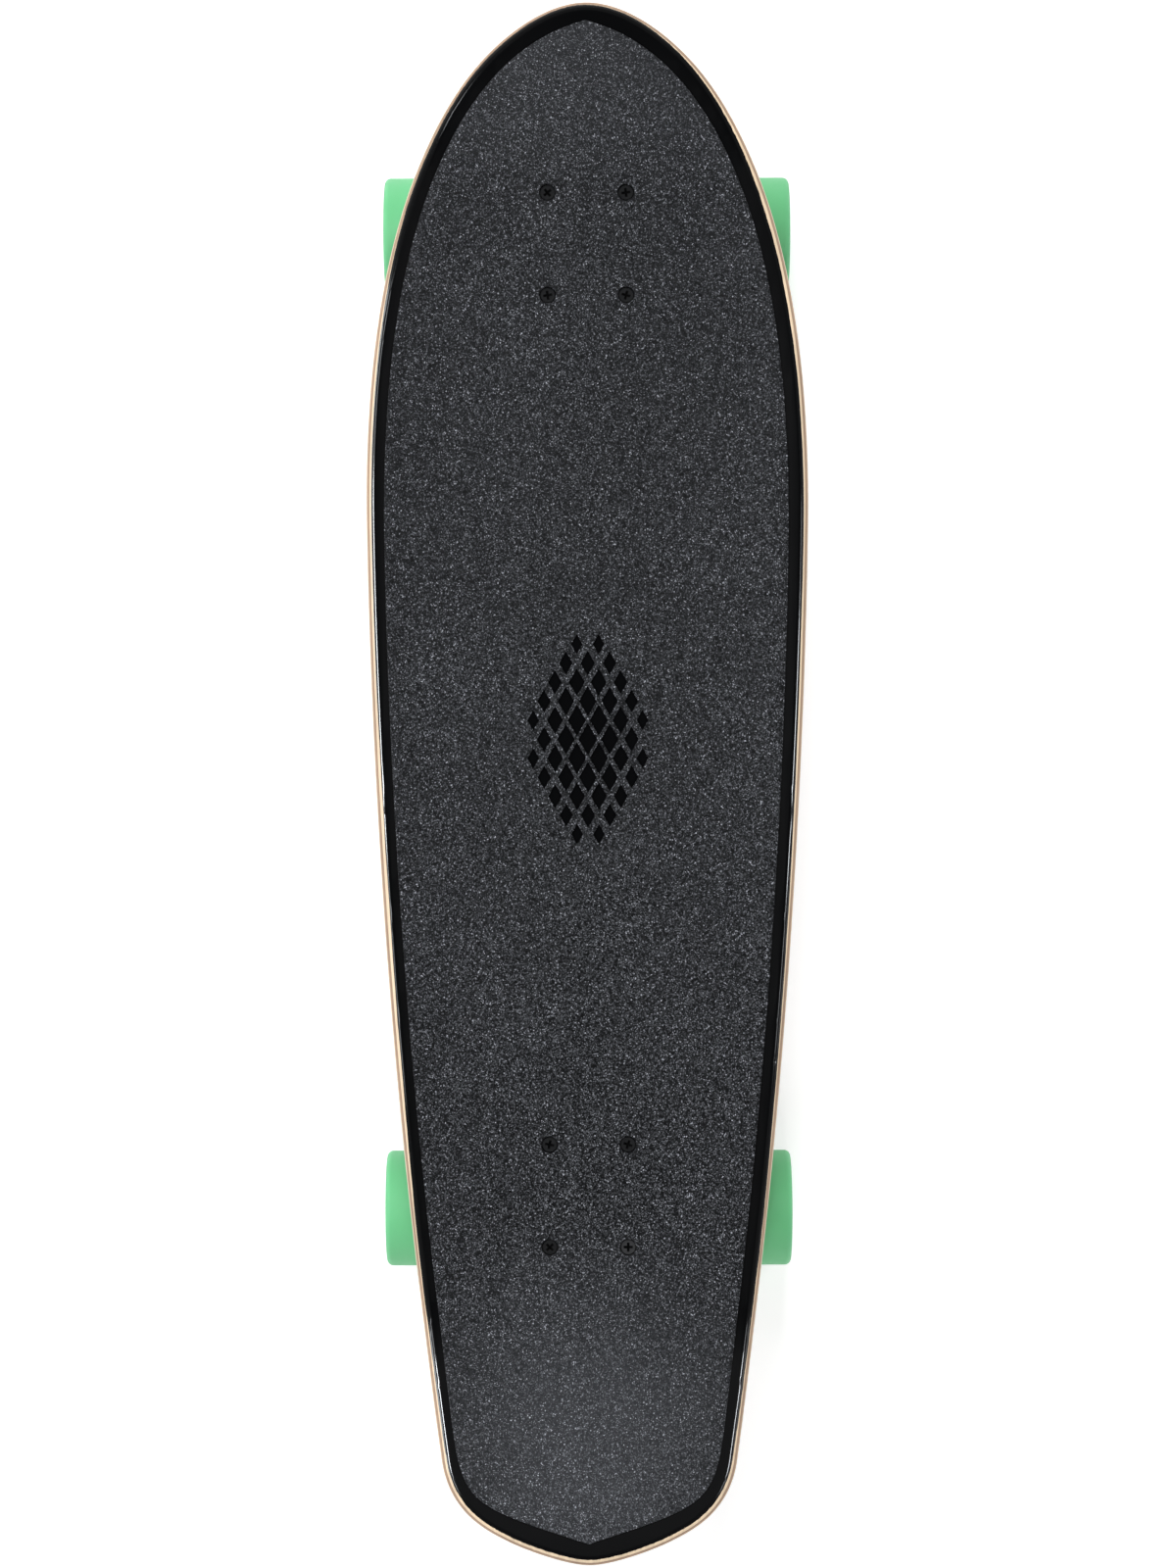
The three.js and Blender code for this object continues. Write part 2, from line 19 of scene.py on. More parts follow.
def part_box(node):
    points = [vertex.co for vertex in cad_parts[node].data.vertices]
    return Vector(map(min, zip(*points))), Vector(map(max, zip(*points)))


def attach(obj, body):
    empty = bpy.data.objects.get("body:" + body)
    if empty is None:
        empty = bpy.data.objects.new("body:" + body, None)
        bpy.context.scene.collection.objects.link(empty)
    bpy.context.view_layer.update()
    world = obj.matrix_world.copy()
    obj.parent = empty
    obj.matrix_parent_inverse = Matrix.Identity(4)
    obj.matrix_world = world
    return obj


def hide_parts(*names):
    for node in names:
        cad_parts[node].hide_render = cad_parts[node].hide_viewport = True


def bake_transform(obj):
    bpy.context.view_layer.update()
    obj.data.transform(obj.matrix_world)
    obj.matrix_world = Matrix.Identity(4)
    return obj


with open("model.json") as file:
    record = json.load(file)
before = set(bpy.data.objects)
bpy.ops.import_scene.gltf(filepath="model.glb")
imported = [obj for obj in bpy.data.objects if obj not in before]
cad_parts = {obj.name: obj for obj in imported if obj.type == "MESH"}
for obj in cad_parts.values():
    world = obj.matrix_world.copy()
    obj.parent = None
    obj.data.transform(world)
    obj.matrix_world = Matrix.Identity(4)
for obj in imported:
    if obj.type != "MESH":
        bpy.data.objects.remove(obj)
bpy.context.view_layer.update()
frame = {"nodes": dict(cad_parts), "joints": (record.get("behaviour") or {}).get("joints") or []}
MM = 0.001

# %% [markdown]
# ## Where things are
#
# Most places come from the frame. The axle gives each truck's origin, the steering joint gives
# the pivot, and a small gauge reads how far a CAD piece reaches along an axis and how wide it is.
# So if one of these sizes changes in the CAD, the pieces here follow.

# %% Read the trucks' places
ALONG_Z = Vector((0, 0, 1))
KINGPIN_LEAN = math.radians(24)
UP_KINGPIN = Vector((math.sin(KINGPIN_LEAN), 0, math.cos(KINGPIN_LEAN)))


def centre_of(node):
    low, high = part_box(node)
    return (low + high) / 2


AXLE = centre_of("front_axle")
RING = AXLE + Vector((-27, 0, 12)) * MM  # middle of the hanger's bushing ring
front_steer = next(joint for joint in frame["joints"] if joint["name"] == "front_steer")
PIVOT = Vector(front_steer["pos_m"])
STEER_AXIS = Vector(front_steer["axis"]).normalized()
print("front axle at", [round(v / MM, 1) for v in AXLE], "pivot at", [round(v / MM, 1) for v in PIVOT])


def gauge(node, origin, axis):
    """How far a CAD node reaches along an axis, low and high, and its radius round it, in mm."""
    places = [vertex.co - origin for vertex in frame["nodes"][node].data.vertices]
    along = [place.dot(axis) for place in places]
    radius = max((place - axis * step).length for place, step in zip(places, along))
    return min(along) / MM, max(along) / MM, radius / MM


def on_kingpin(name):
    """The gauge of a front truck's piece along its kingpin, from the middle of the hanger's ring."""
    return gauge("front_" + name, RING, UP_KINGPIN)


for name in ("bottom_washer", "bottom_bushing", "top_bushing", "top_washer", "kingpin_nut"):
    print(name, [round(v, 2) for v in on_kingpin(name)])

# %% [markdown]
# ## Working by operator
#
# An operator acts on everything that is selected, so each primitive starts from an empty
# selection. `editing` opens edit mode on one piece with nothing selected in it, and `pick` then
# selects vertices, edges or faces by where they are.

# %% Helpers for primitives, selection and modifiers
def alone(piece):
    """Make one object active and the only one selected."""
    bpy.ops.object.select_all(action="DESELECT")
    bpy.context.view_layer.objects.active = piece
    piece.select_set(True)
    return piece


def primitive(kind, name, **sizes):
    bpy.ops.object.select_all(action="DESELECT")
    getattr(bpy.ops.mesh, f"primitive_{kind}_add")(**sizes)
    piece = bpy.context.object
    piece.name = piece.data.name = name
    return piece


@contextmanager
def editing(piece, kind="VERT"):
    alone(piece)
    bpy.ops.object.mode_set(mode="EDIT")
    bpy.ops.mesh.select_mode(type=kind)
    bpy.ops.mesh.select_all(action="DESELECT")
    yield
    bpy.ops.object.mode_set(mode="OBJECT")


def pick(piece, kind, wanted):
    """In edit mode, select the verts, edges or faces for which wanted(element) is true."""
    mesh = bmesh.from_edit_mesh(piece.data)
    for element in getattr(mesh, kind):
        element.select_set(bool(wanted(element)))
    bmesh.update_edit_mesh(piece.data)


def finish_with(piece, kind, **settings):
    """Add a modifier, set it, and apply it."""
    alone(piece)
    modifier = piece.modifiers.new(kind.lower(), kind)
    for setting, value in settings.items():
        setattr(modifier, setting, value)
    bpy.ops.object.modifier_apply(modifier=modifier.name)
    return piece


def joined(name, pieces):
    """Several pieces as one object."""
    bpy.ops.object.select_all(action="DESELECT")
    for piece in pieces:
        piece.select_set(True)
    bpy.context.view_layer.objects.active = pieces[0]
    bpy.ops.object.join()
    pieces[0].name = name
    return pieces[0]


def combined(piece, other, operation):
    """One Boolean with another piece, which is used up by it."""
    finish_with(piece, "BOOLEAN", object=other, operation=operation, solver="EXACT")
    bpy.data.objects.remove(other)
    return piece


def cut(piece, *cutters):
    """Cut pieces away. The cutters don't overlap each other, so they go in one Boolean."""
    return combined(piece, joined("cutter", list(cutters)), "DIFFERENCE")


def eased(piece, width, segments=2, angle=30):
    """Round off the sharp edges by a width in mm, as tumbling or a mould's corner does."""
    sharp = {"limit_method": "ANGLE", "angle_limit": math.radians(angle)}
    return finish_with(piece, "BEVEL", width=width * MM, segments=segments, **sharp)


def smooth(piece, angle=32):
    alone(piece)
    bpy.ops.object.shade_smooth_by_angle(angle=math.radians(angle))
    return piece


def coated(piece, material, angle=32):
    """Give a finished piece its material, and smooth shading up to an angle."""
    piece.data.materials.append(material)
    return smooth(piece, angle)


# %% [markdown]
# ## Lathe work and flat work
#
# Half of a skateboard is turned: wheels, bearings, bushings, washers, pins. `turned` draws half a
# section by extruding one vertex from point to point and spins it. The rest starts as a flat
# outline with a thickness: `slab` draws the outline the same way, fills it and extrudes it.

# %% Helpers for turned and flat pieces
DOUBLE = 1e-3 * MM  # vertices closer than this are one


def drawn(name, points):
    """A chain of edges through points, made by extruding one vertex, left in the mesh."""
    piece = primitive("plane", name, size=MM)
    with editing(piece):
        bpy.ops.mesh.select_all(action="SELECT")
        bpy.ops.mesh.merge(type="CENTER")
        bpy.ops.transform.translate(value=Vector(points[0]) * MM)
        for start, end in zip(points, points[1:]):
            step = (Vector(end) - Vector(start)) * MM
            bpy.ops.mesh.extrude_region_move(TRANSFORM_OT_translate={"value": step})
    return piece


def tidy_faces():
    """In edit mode: merge doubles, then turn every face outwards."""
    bpy.ops.mesh.select_all(action="SELECT")
    bpy.ops.mesh.remove_doubles(threshold=DOUBLE)
    bpy.ops.mesh.normals_make_consistent(inside=False)


def turned(name, profile, steps=64):
    """Spin (radius, height) points in mm round +Z. A ring's profile ends where it starts."""
    piece = drawn(name, [(radius, 0, height) for radius, height in profile])
    with editing(piece):
        bpy.ops.mesh.select_all(action="SELECT")
        bpy.ops.mesh.spin(steps=steps, angle=math.tau, center=(0, 0, 0), axis=(0, 0, 1))
        tidy_faces()
    return piece


def rod(name, radius, low, high, steps=48):
    return turned(name, [(0, low), (radius, low), (radius, high), (0, high)], steps)


def ring(name, inner, outer, low, high, steps=64):
    return turned(name, [(inner, low), (outer, low), (outer, high), (inner, high), (inner, low)], steps)


def slab(name, points, low, high):
    """A flat outline in X and Y, in mm, filled and extruded from one height to another."""
    piece = drawn(name, [(x, y, low) for x, y in [*points, points[0]]])
    with editing(piece):
        bpy.ops.mesh.select_all(action="SELECT")
        bpy.ops.mesh.remove_doubles(threshold=DOUBLE)
        bpy.ops.mesh.edge_face_add()
        bpy.ops.mesh.extrude_region_move(TRANSFORM_OT_translate={"value": (0, 0, (high - low) * MM)})
        tidy_faces()
    return piece


def applied(piece):
    """Write an object's place, turn and size into its mesh."""
    alone(piece)
    bpy.ops.object.transform_apply(location=True, rotation=True, scale=True)
    return piece


def settle(piece, place):
    """Put a piece at its place and write that place into its mesh."""
    piece.matrix_world = place
    return applied(piece)


# %% [markdown]
# ## Materials, first the effects that they share
#
# Four small node groups do most of the work. `mottle` wanders between two values, for gloss that
# is never even. `skin` is the small relief of a cast or moulded surface. `grain` is a pattern
# stretched along one direction, for wood. `worn` is bright on outer edges and dark in corners.
# Each puts out only a value; the shader stays in the material.

# %% Helpers for nodes
def add(tree, kind, inputs=None, **options):
    """Add a shader node, set its options, then fill its inputs with values or links."""
    made = tree.nodes.new("ShaderNode" + kind)
    for option, value in options.items():
        setattr(made, option, value)
    for socket, value in (inputs or {}).items():
        if isinstance(value, bpy.types.NodeSocket):
            tree.links.new(value, made.inputs[socket])
        else:
            made.inputs[socket].default_value = value
    return made


def math_node(tree, operation, *values, clamp=False):
    return add(tree, "Math", dict(enumerate(values)), operation=operation, use_clamp=clamp).outputs[0]


def remap(tree, value, *limits):
    """Value from one span to another: old low, old high, new low, new high. It is clamped."""
    return add(tree, "MapRange", dict(enumerate([value, *limits]))).outputs["Result"]


def blend_colours(tree, share, first, second, kind="MIX"):
    made = add(tree, "Mix", {0: share, 6: first, 7: second}, data_type="RGBA", blend_type=kind)
    return made.outputs[2]


def shaded(tree, colour, level):
    """A colour times a level."""
    grey = add(tree, "CombineColor", {0: level, 1: level, 2: level}).outputs[0]
    return blend_colours(tree, 1.0, colour, grey, "MULTIPLY")


def group_of(name, inputs, build):
    """A node group with a Vector input, number inputs, and one Value output."""
    tree = bpy.data.node_groups.new(name, "ShaderNodeTree")
    tree.interface.new_socket("Vector", in_out="INPUT", socket_type="NodeSocketVector")
    for socket, value in inputs.items():
        made = tree.interface.new_socket(socket, in_out="INPUT", socket_type="NodeSocketFloat")
        made.default_value = value
    tree.interface.new_socket("Value", in_out="OUTPUT", socket_type="NodeSocketFloat")
    result = build(tree, tree.nodes.new("NodeGroupInput").outputs)
    tree.links.new(result, tree.nodes.new("NodeGroupOutput").inputs["Value"])
    return tree


# %% The four shared effects
def build_mottle(tree, given):
    noise = add(tree, "TexNoise", {"Vector": given["Vector"], "Scale": given["Scale"], "Detail": 4.0})
    return remap(tree, noise.outputs[0], 0.3, 0.7, given["Low"], given["High"])


def build_skin(tree, given):
    fine = add(tree, "TexNoise", {"Vector": given["Vector"], "Scale": given["Scale"], "Detail": 3.0})
    wide = math_node(tree, "MULTIPLY", given["Scale"], 0.17)
    broad = add(tree, "TexNoise", {"Vector": given["Vector"], "Scale": wide, "Detail": 2.0})
    return math_node(tree, "ADD", fine.outputs[0], math_node(tree, "MULTIPLY", broad.outputs[0], 1.6))


def build_grain(tree, given):
    stretch = add(tree, "CombineXYZ", {0: given["Along"], 1: given["Across"], 2: given["Across"]})
    lengthened = add(tree, "VectorMath", {0: given["Vector"], 1: stretch.outputs[0]}, operation="MULTIPLY")
    noise = add(tree, "TexNoise", {"Vector": lengthened.outputs[0], "Scale": 1.0, "Detail": 5.0})
    return remap(tree, noise.outputs[0], 0.25, 0.75, 0.0, 1.0)


def build_worn(tree, given):
    pointed = add(tree, "NewGeometry").outputs["Pointiness"]
    patchy = add(tree, "TexNoise", {"Vector": given["Vector"], "Scale": given["Scale"], "Detail": 4.0})
    shift = math_node(tree, "MULTIPLY_ADD", patchy.outputs[0], 0.03, -0.015)
    return remap(tree, math_node(tree, "ADD", pointed, shift), 0.46, 0.56, 0.0, 1.0)


MOTTLE = group_of("mottle", {"Scale": 60.0, "Low": 0.0, "High": 1.0}, build_mottle)
SKIN = group_of("skin", {"Scale": 900.0}, build_skin)
GRAIN = group_of("grain", {"Along": 12.0, "Across": 420.0}, build_grain)
WORN = group_of("worn", {"Scale": 150.0}, build_worn)


def effect(tree, group, vector, **numbers):
    made = tree.nodes.new("ShaderNodeGroup")
    made.node_tree = group
    tree.links.new(vector, made.inputs["Vector"])
    for socket, value in numbers.items():
        made.inputs[socket].default_value = value
    return made.outputs["Value"]


print("shared effects:", [group.name for group in bpy.data.node_groups])

# %% A blank material to paint on
def blank(name, **sockets):
    """A material with one Principled shader. Returns it, its tree, its shader and Object coordinates."""
    material = bpy.data.materials.new(name)
    material.use_nodes = True
    tree = material.node_tree
    shader = tree.nodes["Principled BSDF"]
    for socket, value in sockets.items():
        shader.inputs[socket.replace("_", " ")].default_value = value
    places = tree.nodes.new("ShaderNodeTexCoord").outputs["Object"]
    return material, tree, shader, places


def feed(tree, shader, **sockets):
    for socket, source in sockets.items():
        tree.links.new(source, shader.inputs[socket.replace("_", " ")])


def relief(tree, height, depth, strength=1.0):
    """A bump of a depth in mm, ready for a shader's Normal."""
    return add(tree, "Bump", {"Height": height, "Distance": depth * MM, "Strength": strength}).outputs[0]


# %% [markdown]
# ## The deck
#
# Seven maple veneers, pressed in a mould that bends the nose and tail up and lifts the rails, then
# sawn to shape and rounded over at the rim. The top veneer is dyed black and lacquered, and the
# round-over cuts through it, so a band of pale plies shows all round. The outline is drawn as a
# Bezier curve with ten knots. It is modelled flat, and bent last by the mould's own formula, so
# that the plies bend with it.

# %% Draw an outline and give it a thickness
DECK_KNOTS = (  # handle before, knot and handle after, in mm, from nose to tail on the left
    ((408, -22), (408, 0), (408, 22)),
    ((390.1, 46.2), (370.1, 62), (333.7, 90.7)),
    ((265.8, 116.2), (146.2, 116.2), (137.8, 116.2)),
    ((-115.2, 114.3), (-355.3, 77.4), (-383.1, 73.2)),
    ((-392, 51.8), (-396.9, 41.7), (-399.2, 37.1)),
    ((-408.4, 13.4), (-408.4, 0), (-408.4, -13.4)),
)
CURVE_STEPS = 40


def mirrored(knot):
    before, place, after = knot
    return tuple((x, -y) for x, y in (after, place, before))


def outlined(name, knots, low, high):
    """A closed Bezier outline, mirrored to the right, made a slab between two heights."""
    bpy.ops.object.select_all(action="DESELECT")
    bpy.ops.curve.primitive_bezier_circle_add()
    curve = bpy.context.object
    curve.name = name
    spline = curve.data.splines[0]
    loop = [*knots, *(mirrored(knot) for knot in reversed(knots[1:-1]))]
    spline.bezier_points.add(len(loop) - len(spline.bezier_points))
    for knot, (before, place, after) in zip(spline.bezier_points, loop):
        knot.handle_left_type = knot.handle_right_type = "FREE"
        knot.co = (place[0] * MM, place[1] * MM, low * MM)
        knot.handle_left = (before[0] * MM, before[1] * MM, low * MM)
        knot.handle_right = (after[0] * MM, after[1] * MM, low * MM)
    spline.resolution_u = curve.data.resolution_u = CURVE_STEPS
    bpy.ops.object.convert(target="MESH")
    piece = bpy.context.object
    with editing(piece):
        bpy.ops.mesh.select_all(action="SELECT")
        bpy.ops.mesh.remove_doubles(threshold=0.01 * MM)
        bpy.ops.mesh.edge_face_add()
        bpy.ops.mesh.extrude_region_move(TRANSFORM_OT_translate={"value": (0, 0, (high - low) * MM)})
        tidy_faces()
    return piece


def rounded_rim(piece, lower, upper, segments):
    """Bevel the lower rim of a flat piece by one radius and the upper rim by another."""
    heights = [vertex.co.z for vertex in piece.data.vertices]
    for level, radius in ((min(heights), lower), (max(heights), upper)):
        with editing(piece, "EDGE"):
            pick(piece, "edges", lambda edge: all(abs(end.co.z - level) < 0.01 * MM for end in edge.verts))
            bpy.ops.mesh.bevel(offset=radius * MM, segments=segments, affect="EDGES", clamp_overlap=False)


def sliced(piece, axis, stations):
    """Cut the mesh across an axis at stations in mm, so that it can bend there."""
    normal = Vector([float(i == axis) for i in range(3)])
    with editing(piece):
        for station in stations:
            bpy.ops.mesh.select_all(action="SELECT")
            bpy.ops.mesh.bisect(plane_co=normal * station * MM, plane_no=normal, threshold=0.02 * MM)


# %% The mould's shape
FLAT_HALF_WIDTH = 35
RAIL_HALF_WIDTH = 116.2
CONCAVE_RISE = 7
BEND_RADIUS = 200
NOSE_BEND, NOSE_ANGLE = 318, math.radians(9)
TAIL_BEND, TAIL_ANGLE = -266, math.radians(15)


def kick_rise(distance, angle):
    """Height gained past a bend line: round an arc, then straight on."""
    arc = min(max(distance, 0), BEND_RADIUS * math.sin(angle))
    return BEND_RADIUS - math.sqrt(BEND_RADIUS**2 - arc**2) + max(distance - arc, 0) * math.tan(angle)


def mould_height(x, y):
    outside = max(abs(y) - FLAT_HALF_WIDTH, 0) / (RAIL_HALF_WIDTH - FLAT_HALF_WIDTH)
    kicks = kick_rise(x - NOSE_BEND, NOSE_ANGLE) + kick_rise(TAIL_BEND - x, TAIL_ANGLE)
    return CONCAVE_RISE * outside**2 + kicks


def pressed(piece):
    """Bend a flat piece in the mould."""
    for vertex in piece.data.vertices:
        vertex.co.z += mould_height(vertex.co.x / MM, vertex.co.y / MM) * MM
    return piece


TAIL_CUTS = [*range(-400, -320, 16), *range(-318, -262, 4)]  # close together where it bends
NOSE_CUTS = [*range(318, 352, 4), *range(362, 408, 15)]
ALONG_CUTS = [*TAIL_CUTS, *range(-250, 318, 20), *NOSE_CUTS]
ACROSS_CUTS = [side * y for side in (-1, 1) for y in range(FLAT_HALF_WIDTH, 110, 4)]


def ready_to_bend(piece):
    """Cut a flat piece along and across, so that it can follow the mould."""
    sliced(piece, 0, ALONG_CUTS)
    sliced(piece, 1, ACROSS_CUTS)


print("the tail and nose tips rise, mm:", [round(mould_height(x, 0), 1) for x in (-407, 407)])

# %% Where the bolts go through
BOLT_NAMES = [f"{end}_mounting_bolt_{i}" for end in ("front", "rear") for i in range(1, 5)]
BOLTS = {name: centre_of(name) for name in BOLT_NAMES}
FIRST_BOLT = BOLTS["front_mounting_bolt_1"]
_, head_reach, HEAD_RADIUS = gauge("front_mounting_bolt_1", FIRST_BOLT, ALONG_Z)
HEAD_TOP = head_reach + FIRST_BOLT.z / MM
print("bolt head top at", round(HEAD_TOP, 2), "mm, radius", round(HEAD_RADIUS, 2))


def at_bolts(make):
    """One cutter at each bolt, made by make(name)."""
    return [settle(make("hole"), Matrix.Translation((place.x, place.y, 0))) for place in BOLTS.values()]


# %% Model the deck
DECK_THICKNESS = 11
LOWER_RIM_RADIUS, UPPER_RIM_RADIUS = 4.8, 5.5
DECK_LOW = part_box("deck")[0].z / MM
DECK_TOP = DECK_LOW + DECK_THICKNESS
BOLT_RADIUS = 2.4
SIDE_GAP = 0.3
CHIP_PLACE = (-148, -97.9, DECK_TOP - 0.1)
CHIP_HALF_SIZE = (1.9, 1.0, 0.75)


def countersink(name):
    hole, head = BOLT_RADIUS + SIDE_GAP, HEAD_RADIUS + SIDE_GAP
    neck = HEAD_TOP - head + hole - SIDE_GAP
    profile = [(0, DECK_LOW - 1), (hole, DECK_LOW - 1), (hole, neck), (head, HEAD_TOP - SIDE_GAP)]
    return turned(name, [*profile, (head, DECK_TOP + 1), (0, DECK_TOP + 1)], 32)


def chip(name):
    """A scoop that takes a splinter out of the right rim, behind the middle."""
    scoop = primitive("uv_sphere", name, segments=20, ring_count=12, radius=MM)
    place = Matrix.Translation(Vector(CHIP_PLACE) * MM)
    return settle(scoop, place @ Matrix.Diagonal((*CHIP_HALF_SIZE, 1)))


def dyed_height(place):
    """Millimetres above the underside. Round each bolt the upper half counts as the top, so the countersinks
    are coloured black like the dyed veneer.
    """
    from_bolt = min((place.xy - bolt.xy).length for bolt in BOLTS.values())
    height = place.z / MM - DECK_LOW
    return DECK_THICKNESS if from_bolt < (HEAD_RADIUS + 1) * MM and height > DECK_THICKNESS / 2 else height


deck = outlined("deck_board", DECK_KNOTS, DECK_LOW, DECK_TOP)
rounded_rim(deck, LOWER_RIM_RADIUS, UPPER_RIM_RADIUS, 9)
ready_to_bend(deck)
cut(deck, *at_bolts(countersink), chip("chip"))
heights = deck.data.attributes.new("height", "FLOAT", "POINT")
heights.data.foreach_set("value", [dyed_height(vertex.co) for vertex in deck.data.vertices])
pressed(deck)
smooth(deck, 40)
print("deck:", len(deck.data.polygons), "faces")

# %% [markdown]
# The deck's material reads the `height` that was written before the bend, so the veneers follow
# the mould. Veneers one, three, five and seven have their grain along the board and look pale;
# the cross veneers are pinker and much darker, partly their own tone and partly a painted shade
# for the rounded rim where it turns away from the light. A thin dark glue line lies between
# neighbours. Above the dyed veneer's lower limit the colour is black and the surface is a smooth
# lacquer.

# %% Paint the deck
PLIES = 7
DYE_DEPTH = 0.86
ROUTED_END = 0.42  # metres from the middle
# The round-over was routed by hand. These say how many mm the pale wood comes up more or less
# than it should, by metres along the board, on either side.
ROUTED_LEFT = {
    -0.4: 0.4, -0.37: 0.32, -0.345: 0.0, -0.31: -0.08, -0.265: -0.32, -0.235: -0.25, -0.2: 0.1,
    -0.17: 0.27, -0.06: 0.38, 0.02: 0.3, 0.09: 0.07, 0.16: 0.16, 0.21: 0.06, 0.25: -0.22,
    0.3: -0.6, 0.335: -0.48, 0.37: -0.7, 0.4: -0.6,
}
ROUTED_RIGHT = {
    -0.4: 0.4, -0.37: 0.35, -0.345: 0.0, -0.31: -0.3, -0.23: -0.45, -0.165: -0.27, -0.06: -0.1,
    0.0: 0.0, 0.09: 0.07, 0.14: -0.1, 0.19: 0.18, 0.25: 0.28, 0.3: 0.43, 0.35: 0.14,
    0.37: 0.05, 0.4: -0.5,
}
MAPLE = (0.88, 0.69, 0.48, 1)
# cross veneers: a pinker tone of their own, painted darker as well, a painted shade on the rounded rim
CROSS_MAPLE_AND_SHADE = (0.44, 0.285, 0.19, 1)
GLUE = (0.22, 0.125, 0.08, 1)
DYED = (0.0026, 0.0027, 0.003, 1)


def ramped(tree, value, stops):
    """A colour ramp of greys: {position: level}."""
    ramp = add(tree, "ValToRGB", {0: value})
    ramp.color_ramp.elements.remove(ramp.color_ramp.elements[1])
    for i, (position, level) in enumerate(stops.items()):
        stop = ramp.color_ramp.elements[0] if i == 0 else ramp.color_ramp.elements.new(position)
        stop.position = position
        stop.color = (level, level, level, 1)
    return ramp.outputs["Color"]


def routed(tree, spot):
    """How many mm the pale wood comes up more than it should. A ramp holds levels from 0 to 1."""
    along = remap(tree, spot["X"], -ROUTED_END, ROUTED_END, 0.0, 1.0)
    right, left = (
        ramped(tree, along, {(x / ROUTED_END + 1) / 2: (rise + 1) / 2 for x, rise in edge.items()})
        for edge in (ROUTED_RIGHT, ROUTED_LEFT)
    )
    side = remap(tree, spot["Y"], -0.01, 0.01, 0.0, 1.0)
    level = add(tree, "Mix", {0: side, 2: right, 3: left}).outputs[0]
    return math_node(tree, "MULTIPLY_ADD", level, 2.0, -1.0)


def paint_deck():
    material, tree, shader, places = blank("maple_veneers", Specular_IOR_Level=0.42, Coat_Roughness=0.07)
    height = add(tree, "Attribute", attribute_name="height").outputs["Fac"]
    ply = math_node(tree, "MULTIPLY", height, PLIES / DECK_THICKNESS)
    inside = math_node(tree, "FRACT", ply)
    from_glue = math_node(tree, "MINIMUM", inside, math_node(tree, "SUBTRACT", 1.0, inside))
    parity = math_node(tree, "PINGPONG", math_node(tree, "FLOOR", ply), 1.0)
    odd = math_node(tree, "GREATER_THAN", parity, 0.5)
    long_grain = effect(tree, GRAIN, places, Along=9.0, Across=520.0)
    broad_figure = effect(tree, GRAIN, places, Along=3.0, Across=70.0)
    wood = blend_colours(tree, odd, MAPLE, CROSS_MAPLE_AND_SHADE)
    streak = remap(tree, long_grain, 0.0, 1.0, 0.84, 1.1)
    figure = remap(tree, broad_figure, 0.0, 1.0, 0.86, 1.1)
    shade = math_node(tree, "MULTIPLY", streak, figure)
    veneer = shaded(tree, wood, shade)
    glued = blend_colours(tree, remap(tree, from_glue, 0.03, 0.09, 0.75, 0.0), veneer, GLUE)
    spot = add(tree, "SeparateXYZ", {0: places}).outputs
    border = math_node(tree, "ADD", routed(tree, spot), DECK_THICKNESS - DYE_DEPTH - 0.08)
    ragged = math_node(tree, "MULTIPLY_ADD", long_grain, 0.16, border)
    dyed = math_node(tree, "GREATER_THAN", height, ragged)
    colour = blend_colours(tree, dyed, glued, DYED)
    haze = effect(tree, MOTTLE, places, Scale=35.0, Low=0.08, High=0.13)
    bare = effect(tree, MOTTLE, places, Scale=300.0, Low=0.38, High=0.52)
    gloss = add(tree, "Mix", {0: dyed, 2: bare, 3: haze}).outputs[0]
    pores = math_node(tree, "MULTIPLY", long_grain, math_node(tree, "SUBTRACT", 1.0, dyed))
    feed(tree, shader, Base_Color=colour, Roughness=gloss, Coat_Weight=dyed)
    feed(tree, shader, Normal=relief(tree, pores, 0.04, 0.5))
    return material


def on_board(piece, material, node):
    """Finish a piece that was made in its place: it rides on the board and stands for a CAD node."""
    piece.data.materials.append(material)
    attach(piece, "board")
    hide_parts(node)


on_board(deck, paint_deck(), "deck")

# %% [markdown]
# ## The grip tape
#
# A sheet of black silicon-carbide grit on a pressure-sensitive backing, cut a little inside the
# deck's edge. A panel of lozenges is die-cut out of the middle, and the lacquered deck shows
# through it. The sheet is cut and bent like the deck. Its hole round each bolt widens towards the
# top, as it does where a sheet is pressed down into a countersink.

# %% Model the grip tape
GRIP_KNOTS = (
    ((393.1, -14.7), (398, 0), (393.1, 14.7)),
    ((377, 106.1), (141, 106.1), (120.5, 106.1)),
    ((-94.8, 104.1), (-328.5, 72.4), (-377.4, 65.8)),
    ((-376.8, 65), (-396.9, 0), (-376.8, -65)),
)
GRIP_LOW = DECK_TOP + 0.05
GRIP_TOP = DECK_TOP + 1.0
PANEL_X, PANEL_HALF_LENGTH, PANEL_HALF_WIDTH, PANEL_FILL = 21.5, 59, 34, 0.93
ROW_PITCH, COLUMN_PITCH = 10, 11.5
LOZENGE_HALF_LENGTH, LOZENGE_HALF_WIDTH, LEAST_SCALE = 8.6, 4.9, 0.5
GRIP_SHIFT_Y = 0.5
GRIP_HOLE_RADIUS = HEAD_RADIUS + 0.25
GRIP_HOLE_MOUTH = GRIP_HOLE_RADIUS + 0.5


